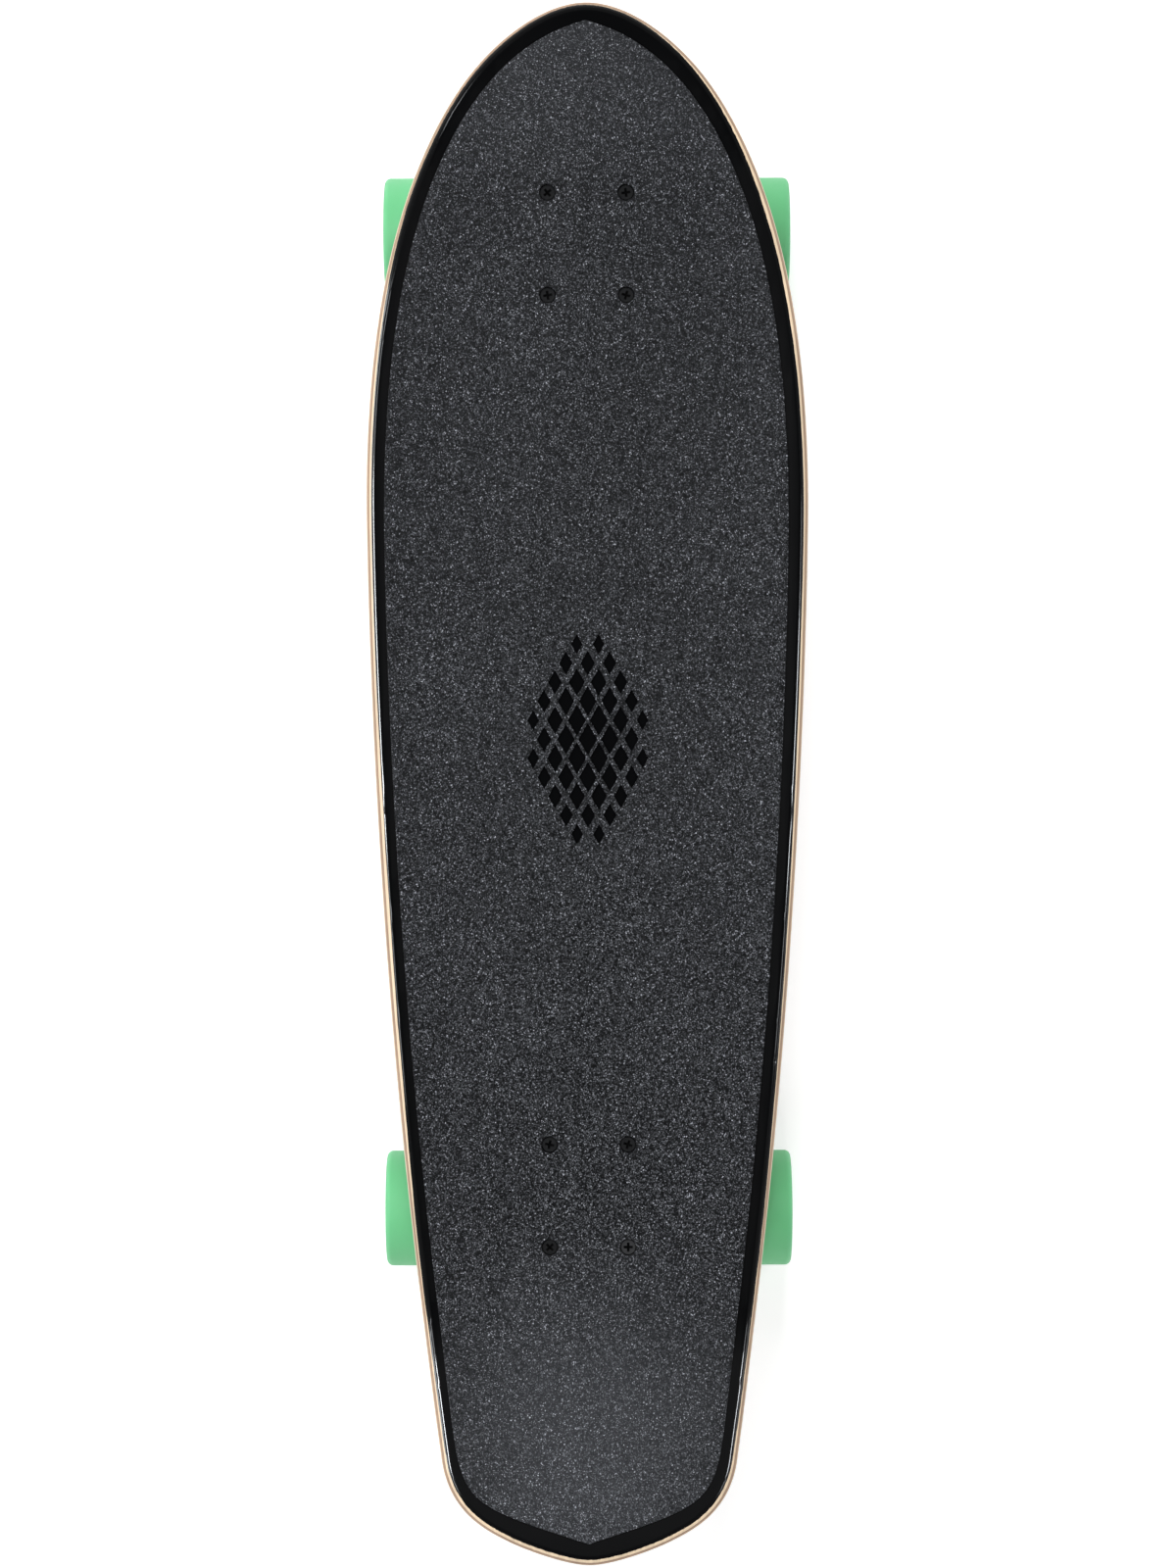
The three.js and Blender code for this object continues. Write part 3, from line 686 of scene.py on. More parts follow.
def lozenges():
    """Cutters in staggered rows, smaller towards the edge of an oval."""
    cutters = []
    rows, columns = PANEL_HALF_LENGTH // ROW_PITCH, math.ceil(PANEL_HALF_WIDTH / COLUMN_PITCH)
    for row in range(-rows, rows + 1):
        for column in range(-columns, columns + 1):
            along = row * ROW_PITCH
            across = (column + (0.5 if row % 2 else 0)) * COLUMN_PITCH
            reach = math.hypot(along / PANEL_HALF_LENGTH, across / PANEL_HALF_WIDTH)
            if reach > PANEL_FILL:
                continue
            size = 1 + (LEAST_SCALE - 1) * reach**2
            long, wide = LOZENGE_HALF_LENGTH * size, LOZENGE_HALF_WIDTH * size
            x, y = PANEL_X + along, across
            corners = [(x + long, y), (x, y + wide), (x - long, y), (x, y - wide)]
            cutters.append(slab("lozenge", corners, GRIP_LOW - 1, GRIP_TOP + 1))
    return cutters


def grip_hole(name):
    """The sheet dips towards each bolt, so its hole is wider at the top."""
    neck = [(0, GRIP_LOW - 1), (GRIP_HOLE_RADIUS, GRIP_LOW - 1), (GRIP_HOLE_RADIUS, GRIP_LOW + 0.2)]
    mouth = [(GRIP_HOLE_MOUTH, GRIP_TOP), (GRIP_HOLE_MOUTH, GRIP_TOP + 1), (0, GRIP_TOP + 1)]
    return turned(name, [*neck, *mouth], 48)


grip = outlined("grip_sheet", GRIP_KNOTS, GRIP_LOW, GRIP_TOP)
settle(grip, Matrix.Translation((0, GRIP_SHIFT_Y * MM, 0)))
rounded_rim(grip, 0.2, 0.2, 2)
ready_to_bend(grip)
cutters = lozenges()
print("lozenges cut out:", len(cutters))
cut(grip, *cutters)
cut(grip, *at_bolts(grip_hole))
pressed(grip)
smooth(grip, 40)
print("grip tape:", len(grip.data.polygons), "faces")

# %% [markdown]
# Grit is thousands of dark crystals that lean every way. A Voronoi pattern of half-millimetre
# cells draws three numbers for each crystal: the first sets its shade and gloss, and all three
# lean its face. So some crystals catch a light and their neighbours miss it, and one in a hundred
# is painted pale, a painted glint. The tail and the tip of the nose are painted paler, a painted
# sheen where the kicks tilt towards the lights.

# %% Paint the grip tape
CRYSTALS_PER_METRE = 2000.0
FACET_LEAN = 0.6
RARE_PAINTED_GLINTS = 70.0  # the power that leaves one crystal in a hundred painted bright, a painted glint
TAIL_PAINTED_SHEEN = (-0.225, -0.33)  # metres along the board, from none to full painted sheen
NOSE_PAINTED_SHEEN = (0.31, 0.39)
TAIL_SHEEN_AMID, TAIL_SHEEN_BESIDE, NOSE_SHEEN_LEVEL = 0.021, 0.006, 0.011
SHEEN_SPREAD = (0.02, 0.08)  # metres off the middle
GRIT_BASE, GRIT_RANGE, PAINTED_GLINT_LEVEL = 0.0045, 0.13, 0.29


def painted_sheen_on_ends(tree, places):
    """How much paler the tail, mostly in its middle, and the tip of the nose are painted: a painted sheen
    where the kicks tilt towards the lights.
    """
    parts = add(tree, "SeparateXYZ", {0: places}).outputs
    off_middle = math_node(tree, "ABSOLUTE", parts["Y"])
    amid = remap(tree, off_middle, *SHEEN_SPREAD, TAIL_SHEEN_AMID, TAIL_SHEEN_BESIDE)
    tail = math_node(tree, "MULTIPLY", remap(tree, parts["X"], *TAIL_PAINTED_SHEEN, 0.0, 1.0), amid)
    return math_node(tree, "ADD", tail, remap(tree, parts["X"], *NOSE_PAINTED_SHEEN, 0.0, NOSE_SHEEN_LEVEL))


def paint_grip():
    material, tree, shader, places = blank("grit", Specular_IOR_Level=0.13)
    cells = add(tree, "TexVoronoi", {"Vector": places, "Scale": CRYSTALS_PER_METRE})
    draws = cells.outputs["Color"]
    chance = add(tree, "SeparateColor", {0: draws}).outputs[0]
    shade = math_node(tree, "POWER", chance, 5.0)
    worn = effect(tree, MOTTLE, places, Scale=14.0, Low=0.9, High=1.12)
    # a painted glint: one crystal in a hundred gets a pale colour
    painted_glint = math_node(tree, "MULTIPLY", math_node(tree, "POWER", chance, RARE_PAINTED_GLINTS), PAINTED_GLINT_LEVEL)
    dull = math_node(tree, "MULTIPLY_ADD", shade, GRIT_RANGE, GRIT_BASE)
    grit = math_node(tree, "MULTIPLY", math_node(tree, "ADD", dull, painted_glint), worn)
    # painted sheen: the kicked ends are painted paler where they tilt towards the lights
    value = math_node(tree, "ADD", grit, painted_sheen_on_ends(tree, places))
    green = math_node(tree, "MULTIPLY", value, 1.03)
    blue = math_node(tree, "MULTIPLY", value, 1.13)
    colour = add(tree, "CombineColor", {0: value, 1: green, 2: blue}).outputs[0]
    rough = remap(tree, chance, 0.0, 1.0, 0.36, 0.22)
    lean = add(tree, "VectorMath", {0: draws, 1: (0.5, 0.5, 0.5)}, operation="SUBTRACT").outputs[0]
    reach = add(tree, "VectorMath", {0: lean, "Scale": FACET_LEAN}, operation="SCALE").outputs[0]
    normal = add(tree, "NewGeometry").outputs["Normal"]
    leaning = add(tree, "VectorMath", {0: normal, 1: reach}).outputs[0]
    facet = add(tree, "VectorMath", {0: leaning}, operation="NORMALIZE").outputs[0]
    feed(tree, shader, Base_Color=colour, Roughness=rough, Normal=facet)
    return material


on_board(grip, paint_grip(), "grip_tape")

# %% [markdown]
# ## Copies, bodies and the two trucks
#
# Both trucks are the same casting, turned end for end, and each carries the same two wheels. So
# every truck piece is modelled once, in the truck's own frame, and copied to both ends. Each copy
# has its own mesh, with its place written into it. Before that, the mesh stores `own`, its
# coordinates in its own frame, so that lathe marks stay centred on each copy.

# %% Helpers that fit copies to the frame
def stood_along(axis, place):
    """Takes a piece modelled round +Z to a place in the truck's frame, along an axis."""
    return Matrix.Translation(place) @ ALONG_Z.rotation_difference(axis).to_matrix().to_4x4()


TRUCKS = {
    "front": Matrix.Translation(AXLE),
    "rear": Matrix.Translation(centre_of("rear_axle")) @ Matrix.Rotation(math.pi, 4, "Z"),
}
ON_KINGPIN = stood_along(UP_KINGPIN, RING - AXLE)
ON_PIVOT = stood_along(STEER_AXIS, PIVOT - AXLE)
ON_AXLE = Matrix.Rotation(math.radians(-90), 4, "X")
STRAIGHT = Matrix.Identity(4)
UPSIDE_DOWN = Matrix.Rotation(math.pi, 4, "X")


def remember_own_place(piece):
    own = piece.data.attributes.new("own", "FLOAT_VECTOR", "POINT")
    own.data.foreach_set("vector", [value for vertex in piece.data.vertices for value in vertex.co])


def copied(master, name, place):
    """A copy of a master, with its place written into its own mesh."""
    alone(master)
    bpy.ops.object.duplicate(linked=False)
    copy = bpy.context.object
    copy.name = copy.data.name = name
    return settle(copy, place)


def fit(master, name, place, body, slot, *nodes):
    """A copy of a master that rides on a body and stands for its CAD nodes."""
    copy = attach(copied(master, name, place), body)
    if nodes:
        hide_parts(*nodes)
    return copy


def fit_both_ends(master, name, place, body, slot):
    """One copy on each truck. A body named hanger is that truck's own."""
    remember_own_place(master)
    for end, truck in TRUCKS.items():
        rides_on = f"{end}_hanger_assembly" if body == "hanger" else body
        fit(master, f"{end}_{name}", truck @ place, rides_on, slot, f"{end}_{name}")
    print(name, len(master.data.polygons), "faces, twice")
    bpy.data.objects.remove(master)


# %% [markdown]
# ## Metal, rubber and urethane
#
# The trucks are cast aluminium, tumbled and left raw. Axles, washers and nuts are zinc-plated
# steel, the mounting bolts are black, the wheels and bushings are poured urethane. They differ
# most in how even their gloss is, so each gets its own blend of the shared effects.

# %% Paint the metals
def own_places(tree):
    return add(tree, "Attribute", attribute_name="own").outputs["Vector"]


def lathe_marks(tree, own, rings_per_mm):
    """Fine rings round the piece's own axis, uneven along the way."""
    parts = add(tree, "SeparateXYZ", {0: own}).outputs
    flat = add(tree, "CombineXYZ", {0: parts["X"], 1: parts["Y"], 2: 0.0}).outputs[0]
    radius = add(tree, "VectorMath", {0: flat}, operation="LENGTH").outputs["Value"]
    across = add(tree, "CombineXYZ", {0: radius, 1: 0.0, 2: parts["Z"]}).outputs[0]
    noise = add(tree, "TexNoise", {"Vector": across, "Scale": rings_per_mm / MM, "Detail": 2.0})
    return noise.outputs[0]


DULL_ALLOY, PALE_ALLOY = (0.43, 0.435, 0.44, 1), (0.56, 0.565, 0.57, 1)
RUBBED_ALLOY = (0.72, 0.725, 0.73, 1)


def paint_casting():
    material, tree, shader, places = blank("raw_cast_alloy", Metallic=1.0)
    edge = effect(tree, WORN, places, Scale=260.0)
    cloud = effect(tree, MOTTLE, places, Scale=90.0, Low=0.0, High=1.0)
    dull = blend_colours(tree, cloud, DULL_ALLOY, PALE_ALLOY)
    colour = blend_colours(tree, edge, dull, RUBBED_ALLOY)
    base = effect(tree, MOTTLE, places, Scale=500.0, Low=0.42, High=0.6)
    rough = math_node(tree, "SUBTRACT", base, math_node(tree, "MULTIPLY", edge, 0.14))
    sand = effect(tree, SKIN, places, Scale=900.0)
    feed(tree, shader, Base_Color=colour, Roughness=rough, Normal=relief(tree, sand, 0.09, 0.55))
    return material


def paint_steel(name, colour, low, high, rings=9.0, **sockets):
    material, tree, shader, places = blank(name, **{"Metallic": 1.0, **sockets})
    own = own_places(tree)
    cloud = effect(tree, MOTTLE, places, Scale=240.0, Low=0.86, High=1.08)
    tinted = shaded(tree, colour, cloud)
    rough = effect(tree, MOTTLE, places, Scale=700.0, Low=low, High=high)
    marks = lathe_marks(tree, own, rings)
    feed(tree, shader, Base_Color=tinted, Roughness=rough, Normal=relief(tree, marks, 0.012, 0.5))
    return material


CAST_ALLOY = paint_casting()
ZINC_STEEL = paint_steel("zinc_plate", (0.6, 0.61, 0.62, 1), 0.24, 0.36)
BEARING_STEEL = paint_steel("ground_bearing_steel", (0.66, 0.66, 0.67, 1), 0.14, 0.22, 14.0)
BLACK = {"Metallic": 0.0, "Specular_IOR_Level": 0.3}
BLACK_STEEL = paint_steel("black_oxide", (0.007, 0.007, 0.0075, 1), 0.36, 0.5, **BLACK)
RUBBED_STEEL = paint_steel("rubbed_oxide", (0.034, 0.034, 0.035, 1), 0.36, 0.5, **BLACK)


# %% Paint the soft materials
def paint_moulded(name, pale, dark, low, high, depth=0.02, **sockets):
    """A moulded plastic, rubber or urethane, a little uneven in colour and gloss."""
    material, tree, shader, places = blank(name, **sockets)
    cloud = effect(tree, MOTTLE, places, Scale=45.0, Low=0.0, High=1.0)
    rough = effect(tree, MOTTLE, places, Scale=320.0, Low=low, High=high)
    fine = effect(tree, SKIN, places, Scale=1400.0)
    colour = blend_colours(tree, cloud, dark, pale)
    feed(tree, shader, Base_Color=colour, Roughness=rough, Normal=relief(tree, fine, depth, 0.5))
    return material


PALE_MINT, DEEP_MINT = (0.18, 0.63, 0.29, 1), (0.166, 0.605, 0.27, 1)
LIGHT_SINKS_IN = {"Subsurface_Weight": 0.12, "Subsurface_Radius": (0.004, 0.006, 0.004)}
MINT = paint_moulded("mint_urethane", PALE_MINT, DEEP_MINT, 0.48, 0.6, 0.015, **LIGHT_SINKS_IN)
IVORY = paint_moulded("bushing_urethane", (0.74, 0.71, 0.62, 1), (0.68, 0.65, 0.56, 1), 0.34, 0.46, 0.02)
RUBBER = paint_moulded("black_rubber", (0.022, 0.022, 0.023, 1), (0.014, 0.014, 0.015, 1), 0.62, 0.8, 0.05)
NYLON = paint_moulded("nylon_insert", (0.72, 0.73, 0.72, 1), (0.64, 0.65, 0.64, 1), 0.35, 0.5, 0.02)
# near-black for each bolt's cross recess: a painted shade in the recess
PALE_RECESS_SHADE, DEEP_RECESS_SHADE = (0.005, 0.005, 0.005, 1), (0.002, 0.002, 0.002, 1)
RECESS_PAINTED_SHADE = paint_moulded("packed_dirt", PALE_RECESS_SHADE, DEEP_RECESS_SHADE, 0.8, 0.95, Specular_IOR_Level=0.1)
print("finishes:", [material.name for material in bpy.data.materials if material.use_nodes])

# %% [markdown]
# ## Wheels
#
# A soft cruiser wheel is urethane poured in a mould and turned true on a lathe: a flat tread,
# a rounded lip, and side faces that sink to the bearing seat. The section is drawn with a wide
# arc at each corner of the tread, and the other corners are eased a little afterwards. The wheel
# is modelled round +Z with its outboard face up.

# %% Model the wheel
wheel_low, wheel_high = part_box("front_left_wheel")
WHEEL_RADIUS = (wheel_high.z - wheel_low.z) / 2 / MM
WHEEL_HALF = (wheel_high.y - wheel_low.y) / 2 / MM
LIP = 3.2
HUB_BORE, HUB_STEP, HUB_EDGE = 9.4, 12.1, 15
OUTBOARD = Vector((0, 1, 0))
LEFT_WHEEL = centre_of("front_left_wheel")
# The CAD names a wheel's outboard bearing "inner" and its inboard bearing "outer".
BEARING_LOW, BEARING_HIGH, BEARING_RADIUS = gauge("front_left_inner_bearing", LEFT_WHEEL, OUTBOARD)
print("wheel radius", round(WHEEL_RADIUS, 2), "half width", round(WHEEL_HALF, 2))
print("a bearing lies from", round(BEARING_LOW, 2), "to", round(BEARING_HIGH, 2), "mm off the middle")


def lip_arc(steps=8):
    """The rounded lip from the side face to the tread."""
    turns = [math.radians(90 * i / steps) for i in range(steps + 1)]
    across, up = WHEEL_RADIUS - LIP, WHEEL_HALF - LIP
    return [(across + LIP * math.sin(turn), up + LIP * math.cos(turn)) for turn in turns]


def half_section():
    """The wheel's section from its middle rib outwards to the tread."""
    seat = BEARING_RADIUS + 0.02
    floor_of_seat = BEARING_LOW - 0.1
    hub = [(HUB_BORE, 0), (HUB_BORE, floor_of_seat), (seat, floor_of_seat), (seat, BEARING_HIGH + 0.35)]
    step = [(HUB_STEP, BEARING_HIGH + 1.2), (HUB_EDGE, BEARING_HIGH + 1.7)]
    dish = [(HUB_EDGE + 1.4, WHEEL_HALF - 5.5), (21, WHEEL_HALF - 1.5), (22.2, WHEEL_HALF - 1.1)]
    return [*hub, *step, *dish, (WHEEL_RADIUS - LIP - 2.2, WHEEL_HALF - 0.15), *lip_arc()]


def model_wheel():
    outer = half_section()
    inner = [(radius, -height) for radius, height in reversed(outer)]
    wheel = turned("wheel", [*outer, *inner], 96)
    eased(wheel, 0.45, 3, 18)
    return coated(wheel, MINT, 45)


WHEELS = {}
for end in ("front", "rear"):
    for side, quarter in (("left", -90), ("right", 90)):
        turn = Matrix.Rotation(math.radians(quarter), 4, "X")
        WHEELS[f"{end}_{side}"] = Matrix.Translation(centre_of(f"{end}_{side}_wheel")) @ turn


def fit_all_wheels(master, name, place, body, slot, stands_for=True):
    """One copy at each wheel, on the wheel's body or on its hanger's."""
    remember_own_place(master)
    for corner, centre in WHEELS.items():
        end = corner.split("_")[0]
        rides_on = f"{corner}_wheel_assembly" if body == "wheel" else f"{end}_hanger_assembly"
        nodes = [f"{corner}_{name}"] if stands_for else []
        fit(master, f"{corner}_{name}", centre @ place, rides_on, slot, *nodes)
    print(name, len(master.data.polygons), "faces, four times")
    bpy.data.objects.remove(master)


fit_all_wheels(model_wheel(), "wheel", STRAIGHT, "wheel", "wheel_urethane")

# %% [markdown]
# ## Bearings
#
# Each wheel turns on two ball bearings, 22 mm across and 7 mm wide. The outer ring and its
# rubber shields turn with the wheel, while the inner ring is clamped on the axle. So a bearing is
# two pieces on two bodies, with a fine gap between them where the shield ends.

# %% Model the bearings
BORE_RADIUS = 4.05
INNER_RING_RADIUS = 5.9
SHIELD_EDGE = 9.3
BEARING_HALF = (BEARING_HIGH - BEARING_LOW) / 2
BEARING_MIDDLE = (BEARING_HIGH + BEARING_LOW) / 2


def outer_race():
    race = ring("race", SHIELD_EDGE, BEARING_RADIUS, -BEARING_HALF, BEARING_HALF, 72)
    eased(race, 0.35, 3)
    race.data.materials.append(BEARING_STEEL)
    low, edge = BEARING_HALF - 0.9, INNER_RING_RADIUS + 0.12
    step = [(edge, low), (SHIELD_EDGE + 0.05, low), (SHIELD_EDGE + 0.05, low + 0.45)]
    lip = [(8.6, low + 0.7), (7.0, low + 0.7), (6.7, low + 0.45), (6.3, low + 0.6), (edge, low + 0.6)]
    faces = []
    for direction in (1, -1):
        shield = turned("shield", [(r, z * direction) for r, z in [*step, *lip, step[0]]], 72)
        eased(shield, 0.08, 2)
        shield.data.materials.append(RUBBER)
        faces.append(shield)
    return smooth(joined("race", [race, *faces]))


def inner_race():
    race = ring("inner", BORE_RADIUS, INNER_RING_RADIUS, -BEARING_HALF, BEARING_HALF, 64)
    return coated(eased(race, 0.3, 3), BEARING_STEEL)


for name, sign in (("inner", 1), ("outer", -1)):
    seat = Matrix.Translation((0, 0, sign * BEARING_MIDDLE * MM))
    fit_all_wheels(outer_race(), f"{name}_bearing", seat, "wheel", "bearing_steel")
    fit_all_wheels(inner_race(), f"{name}_bearing_inner_ring", seat, "hanger", "bearing_steel", False)

# %% [markdown]
# ## What holds a wheel on
#
# A thin speed washer bears on each side of the bearings, a spacer keeps the two inner rings
# apart, and a locking nut holds all of it on the axle. The nut is a hexagon whose corners are
# turned off on a cone, with a rolled collar that grips a nylon ring.

# %% Model washers, spacer and locking nuts
def washer():
    made = ring("washer", BORE_RADIUS, 5.8, -0.4, 0.4, 48)
    return coated(eased(made, 0.12, 2), ZINC_STEEL)


def spacer():
    low, high, radius = gauge("front_left_bearing_spacer", LEFT_WHEEL, OUTBOARD)
    made = ring("spacer", BORE_RADIUS, radius, low, high, 48)
    return coated(eased(made, 0.2, 2), ZINC_STEEL)


def locking_nut(corner, bore, height, metal, collar=0.26):
    """A hexagon with a nylon collar, from z = 0 up to its height in mm. Corner is its radius."""
    flat = corner * math.cos(math.pi / 6)
    hexagon = height * (1 - collar)
    nut = primitive("cylinder", "nut", vertices=6, radius=corner * MM, depth=hexagon * MM)
    settle(nut, Matrix.Translation((0, 0, hexagon / 2 * MM)))
    slope = (corner - flat) * 0.75
    beyond = 0.4  # the cone passes the hexagon's faces, so no two faces lie in one plane
    wide, narrow = corner + 0.1, flat * 0.97  # the cone's radii
    tip = narrow - (wide - narrow) * beyond / slope
    cone = [(0, -beyond), (tip, -beyond), (wide, slope), (wide, hexagon - slope)]
    cone += [(tip, hexagon + beyond), (0, hexagon + beyond)]
    combined(nut, turned("cone", cone, 64), "INTERSECT")
    outer = flat * 0.93
    rolled = [(0, hexagon - 0.5), (outer, hexagon - 0.5), (outer, height - 0.9), (outer - 0.3, height - 0.3)]
    rim = [(outer - 0.9, height), (bore + 1.2, height), (0, height)]
    combined(nut, turned("top", [*rolled, *rim], 64), "UNION")
    cut(nut, rod("bore", bore, -1, height + 1, 48))
    cut(nut, ring("groove", bore - 0.5, bore + 1.1, height - 1.6, height + 1, 48))
    nut.data.materials.append(metal)
    eased(nut, 0.1, 2, 28)
    insert = ring("insert", bore - 0.25, bore + 1.05, height - 1.6, height - 0.12, 48)
    eased(insert, 0.2, 2)
    insert.data.materials.append(NYLON)
    return smooth(joined("nut", [smooth(nut, 30), insert]), 30)


nut_low, nut_high, nut_corner = gauge("front_left_axle_nut", LEFT_WHEEL, OUTBOARD)
axle_nut = locking_nut(nut_corner, BORE_RADIUS, nut_high - nut_low, ZINC_STEEL)
fit_all_wheels(axle_nut, "axle_nut", Matrix.Translation((0, 0, nut_low * MM)), "hanger", "zinc_steel")
fit_all_wheels(spacer(), "bearing_spacer", STRAIGHT, "hanger", "zinc_steel")
WASHER_PLACE = BEARING_HIGH + 0.45
for name, place in (("inner", WASHER_PLACE), ("outer", -WASHER_PLACE)):
    middle = Matrix.Translation((0, 0, place * MM))
    fit_all_wheels(washer(), f"{name}_speed_washer", middle, "hanger", "zinc_steel", False)

# %% [markdown]
# ## Threads and the axle
#
# A thread is a wave rolled into a rod: at each height the wave has turned a little further. So a
# rod with many rings can be threaded by moving its vertices in and out.

# %% Roll threads and model the axle
def thread(piece, low, high, pitch, depth):
    for vertex in piece.data.vertices:
        x, y, z = vertex.co / MM
        radius = math.hypot(x, y)
        if radius > depth and low < z < high:
            turn = (z / pitch - math.atan2(y, x) / math.tau) % 1
            fade = min(1, (z - low) / pitch, (high - z) / pitch)
            squeeze = 1 - fade * depth * abs(2 * turn - 1) / radius
            vertex.co.x *= squeeze
            vertex.co.y *= squeeze


def threaded_stretch(radius, low, high, pitch, rings=6):
    """Points up a rod that are close enough together to carry a thread."""
    count = math.ceil((high - low) / pitch * rings)
    return [(radius, low + (high - low) * i / count) for i in range(count + 1)]


def model_axle():
    half = gauge("front_axle", AXLE, OUTBOARD)[1]
    radius, tip, pitch, depth = 4.0, 0.7, 1.0, 0.5
    threaded = half - 10
    upper = [*threaded_stretch(radius, threaded, half - tip, pitch), (radius - tip, half), (0, half)]
    axle = turned("axle", [*((r, -z) for r, z in reversed(upper)), *upper], 40)
    thread(axle, threaded, half - tip, pitch, depth)
    thread(axle, tip - half, -threaded, pitch, depth)
    return coated(axle, ZINC_STEEL, 24)


fit_both_ends(model_axle(), "axle", ON_AXLE, "hanger", "zinc_steel")

# %% [markdown]
# ## The hanger
#
# The hanger is one aluminium casting: a beam round the axle, a ring that sits between the two
# bushings, a web between them, and an arm that ends in a round stem in the pivot cup. It is
# roughed out of simple solids, then remeshed and smoothed, which melts the joints between them
# into fillets as a sand mould would. After casting it is machined: the ring's bore and seats, the
# axle's bore and the ends of the beam are cut crisp.

# %% Helpers for castings
CASTING_VOXEL = 0.75


def cast(name, solids, melt=9):
    """Melt solids into one casting with soft corners."""
    piece = joined(name, solids)
    finish_with(piece, "REMESH", mode="VOXEL", voxel_size=CASTING_VOXEL * MM, use_smooth_shade=True)
    finish_with(piece, "SMOOTH", factor=0.5, iterations=melt)
    return piece


def on_its_side(piece):
    """Turn a slab drawn in X and Y so that it stands in X and Z, centred on Y = 0."""
    return settle(piece, Matrix.Rotation(math.radians(90), 4, "X"))


# %% Cast and machine the hanger
HANGER_HALF = gauge("front_hanger", AXLE, OUTBOARD)[1]
RING_RADIUS, RING_BORE, RING_HALF = 16.5, 9, 5
AXLE_BORE, END_CUTTER_RADIUS = 4.1, 14
RING_TO_AXLE = (RING - AXLE).length / MM


def hanger_solids():
    half = [(11.2, 0), (11.2, 28), (9.7, 60), (9.1, HANGER_HALF + 1.5), (0, HANGER_HALF + 1.5)]
    beam = settle(turned("beam", [*((r, -z) for r, z in reversed(half)), *half[1:]]), ON_AXLE)
    band = settle(rod("band", RING_RADIUS + 0.4, -RING_HALF - 0.7, RING_HALF + 0.7, 64), ON_KINGPIN)
    web = [(-4, 14.4), (8, 17.4), (RING_TO_AXLE, 50), (RING_TO_AXLE, -50), (8, -17.4), (-4, -14.4)]
    plate = settle(slab("plate", web, -4.4, 4.4), ON_KINGPIN)
    side = [(-8, 6), (8, 4), (13.8, 24), (9.8, 33.4), (1.2, 27.6), (-2.3, 18)]
    arm = on_its_side(slab("arm", side, -5.3, 5.3))
    wing = [(2, 36), (27, 6), (27, -6), (2, -36)]
    gusset = settle(slab("gusset", wing, -3.4, 3.4), Matrix.Rotation(math.radians(-76), 4, "Y"))
    neck = [(0, -17), (6.3, -17), (7.4, -12), (5.3, -6), (5.0, -3)]
    ball = [(5.5, 0), (4.9, 2.8), (2.8, 4.9), (0, 5.5)]
    stem = settle(turned("stem", [*neck, *ball], 40), ON_PIVOT)
    return [beam, band, plate, arm, gusset, stem]


def model_hanger():
    hanger = cast("hanger", hanger_solids())
    cut(hanger, settle(rod("bore", RING_BORE, -20, 20, 56), ON_KINGPIN))
    seat = RING_RADIUS - 2.2
    upper = rod("upper", seat, RING_HALF, RING_HALF + 9, 64)
    lower = rod("lower", seat, -RING_HALF - 9, -RING_HALF, 64)
    cut(hanger, settle(upper, ON_KINGPIN), settle(lower, ON_KINGPIN))
    cut(hanger, settle(rod("axle_bore", AXLE_BORE, -HANGER_HALF - 9, HANGER_HALF + 9, 48), ON_AXLE))
    beyond = HANGER_HALF + 6
    spans = ((HANGER_HALF, beyond), (-beyond, -HANGER_HALF))
    ends = [rod("end", END_CUTTER_RADIUS, start, stop) for start, stop in spans]
    cut(hanger, *(settle(end, ON_AXLE) for end in ends))
    return coated(hanger, CAST_ALLOY, 38)


fit_both_ends(model_hanger(), "hanger", STRAIGHT, "hanger", "cast_alloy")

# %% [markdown]
# ## The baseplate
#
# The other half of the truck is bolted to the deck: a plate with a slanted boss that the kingpin
# goes through, a tower that holds the pivot cup, and a spine between them. It is cast in the same
# way, then its top is milled flat and its holes are drilled.

# %% Cast and machine the baseplate
PLATE_LENGTH, PLATE_WIDTH, PLATE_CORNER = 82, 57, 10
pad_low, pad_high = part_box("front_riser_pad")
PLATE_X = (pad_low.x + pad_high.x) / 2 - AXLE.x
PLATE_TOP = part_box("front_baseplate")[1].z - AXLE.z
PLATE_THICKNESS = 5.5 * MM
KINGPIN_BORE = 5.15
SEAT_RADIUS, POCKET_RADIUS, POCKET_DEPTH = 13.2, 9.2, 5.6
FAR = 60  # mm up the kingpin, past the baseplate
SEAT = on_kingpin("bottom_washer")[1] + SIDE_GAP
CUP_MOUTH, CUP_END, CUP_RADIUS = gauge("front_pivot_cup", PIVOT, STEER_AXIS)


def rounded_plate(name, low, high, grow=0):
    """A rectangular plate with round corners, between two heights in metres."""
    size = (PLATE_LENGTH * MM + grow, PLATE_WIDTH * MM + grow, high - low)
    middle = (PLATE_X, 0, (low + high) / 2)
    plate = applied(primitive("cube", name, size=1, location=middle, scale=size))
    with editing(plate, "EDGE"):
        pick(plate, "edges", lambda edge: abs(edge.verts[0].co.z - edge.verts[1].co.z) > (high - low) / 2)
        bpy.ops.mesh.bevel(offset=PLATE_CORNER * MM, segments=10, affect="EDGES")
    return plate


def drills(radius, low, high):
    """A drill at each of the four bolts, in the truck's frame and in mm."""
    places = [BOLTS[f"front_mounting_bolt_{i}"] - AXLE for i in range(1, 5)]
    return [settle(rod("drill", radius, low, high, 32), Matrix.Translation((p.x, p.y, 0))) for p in places]


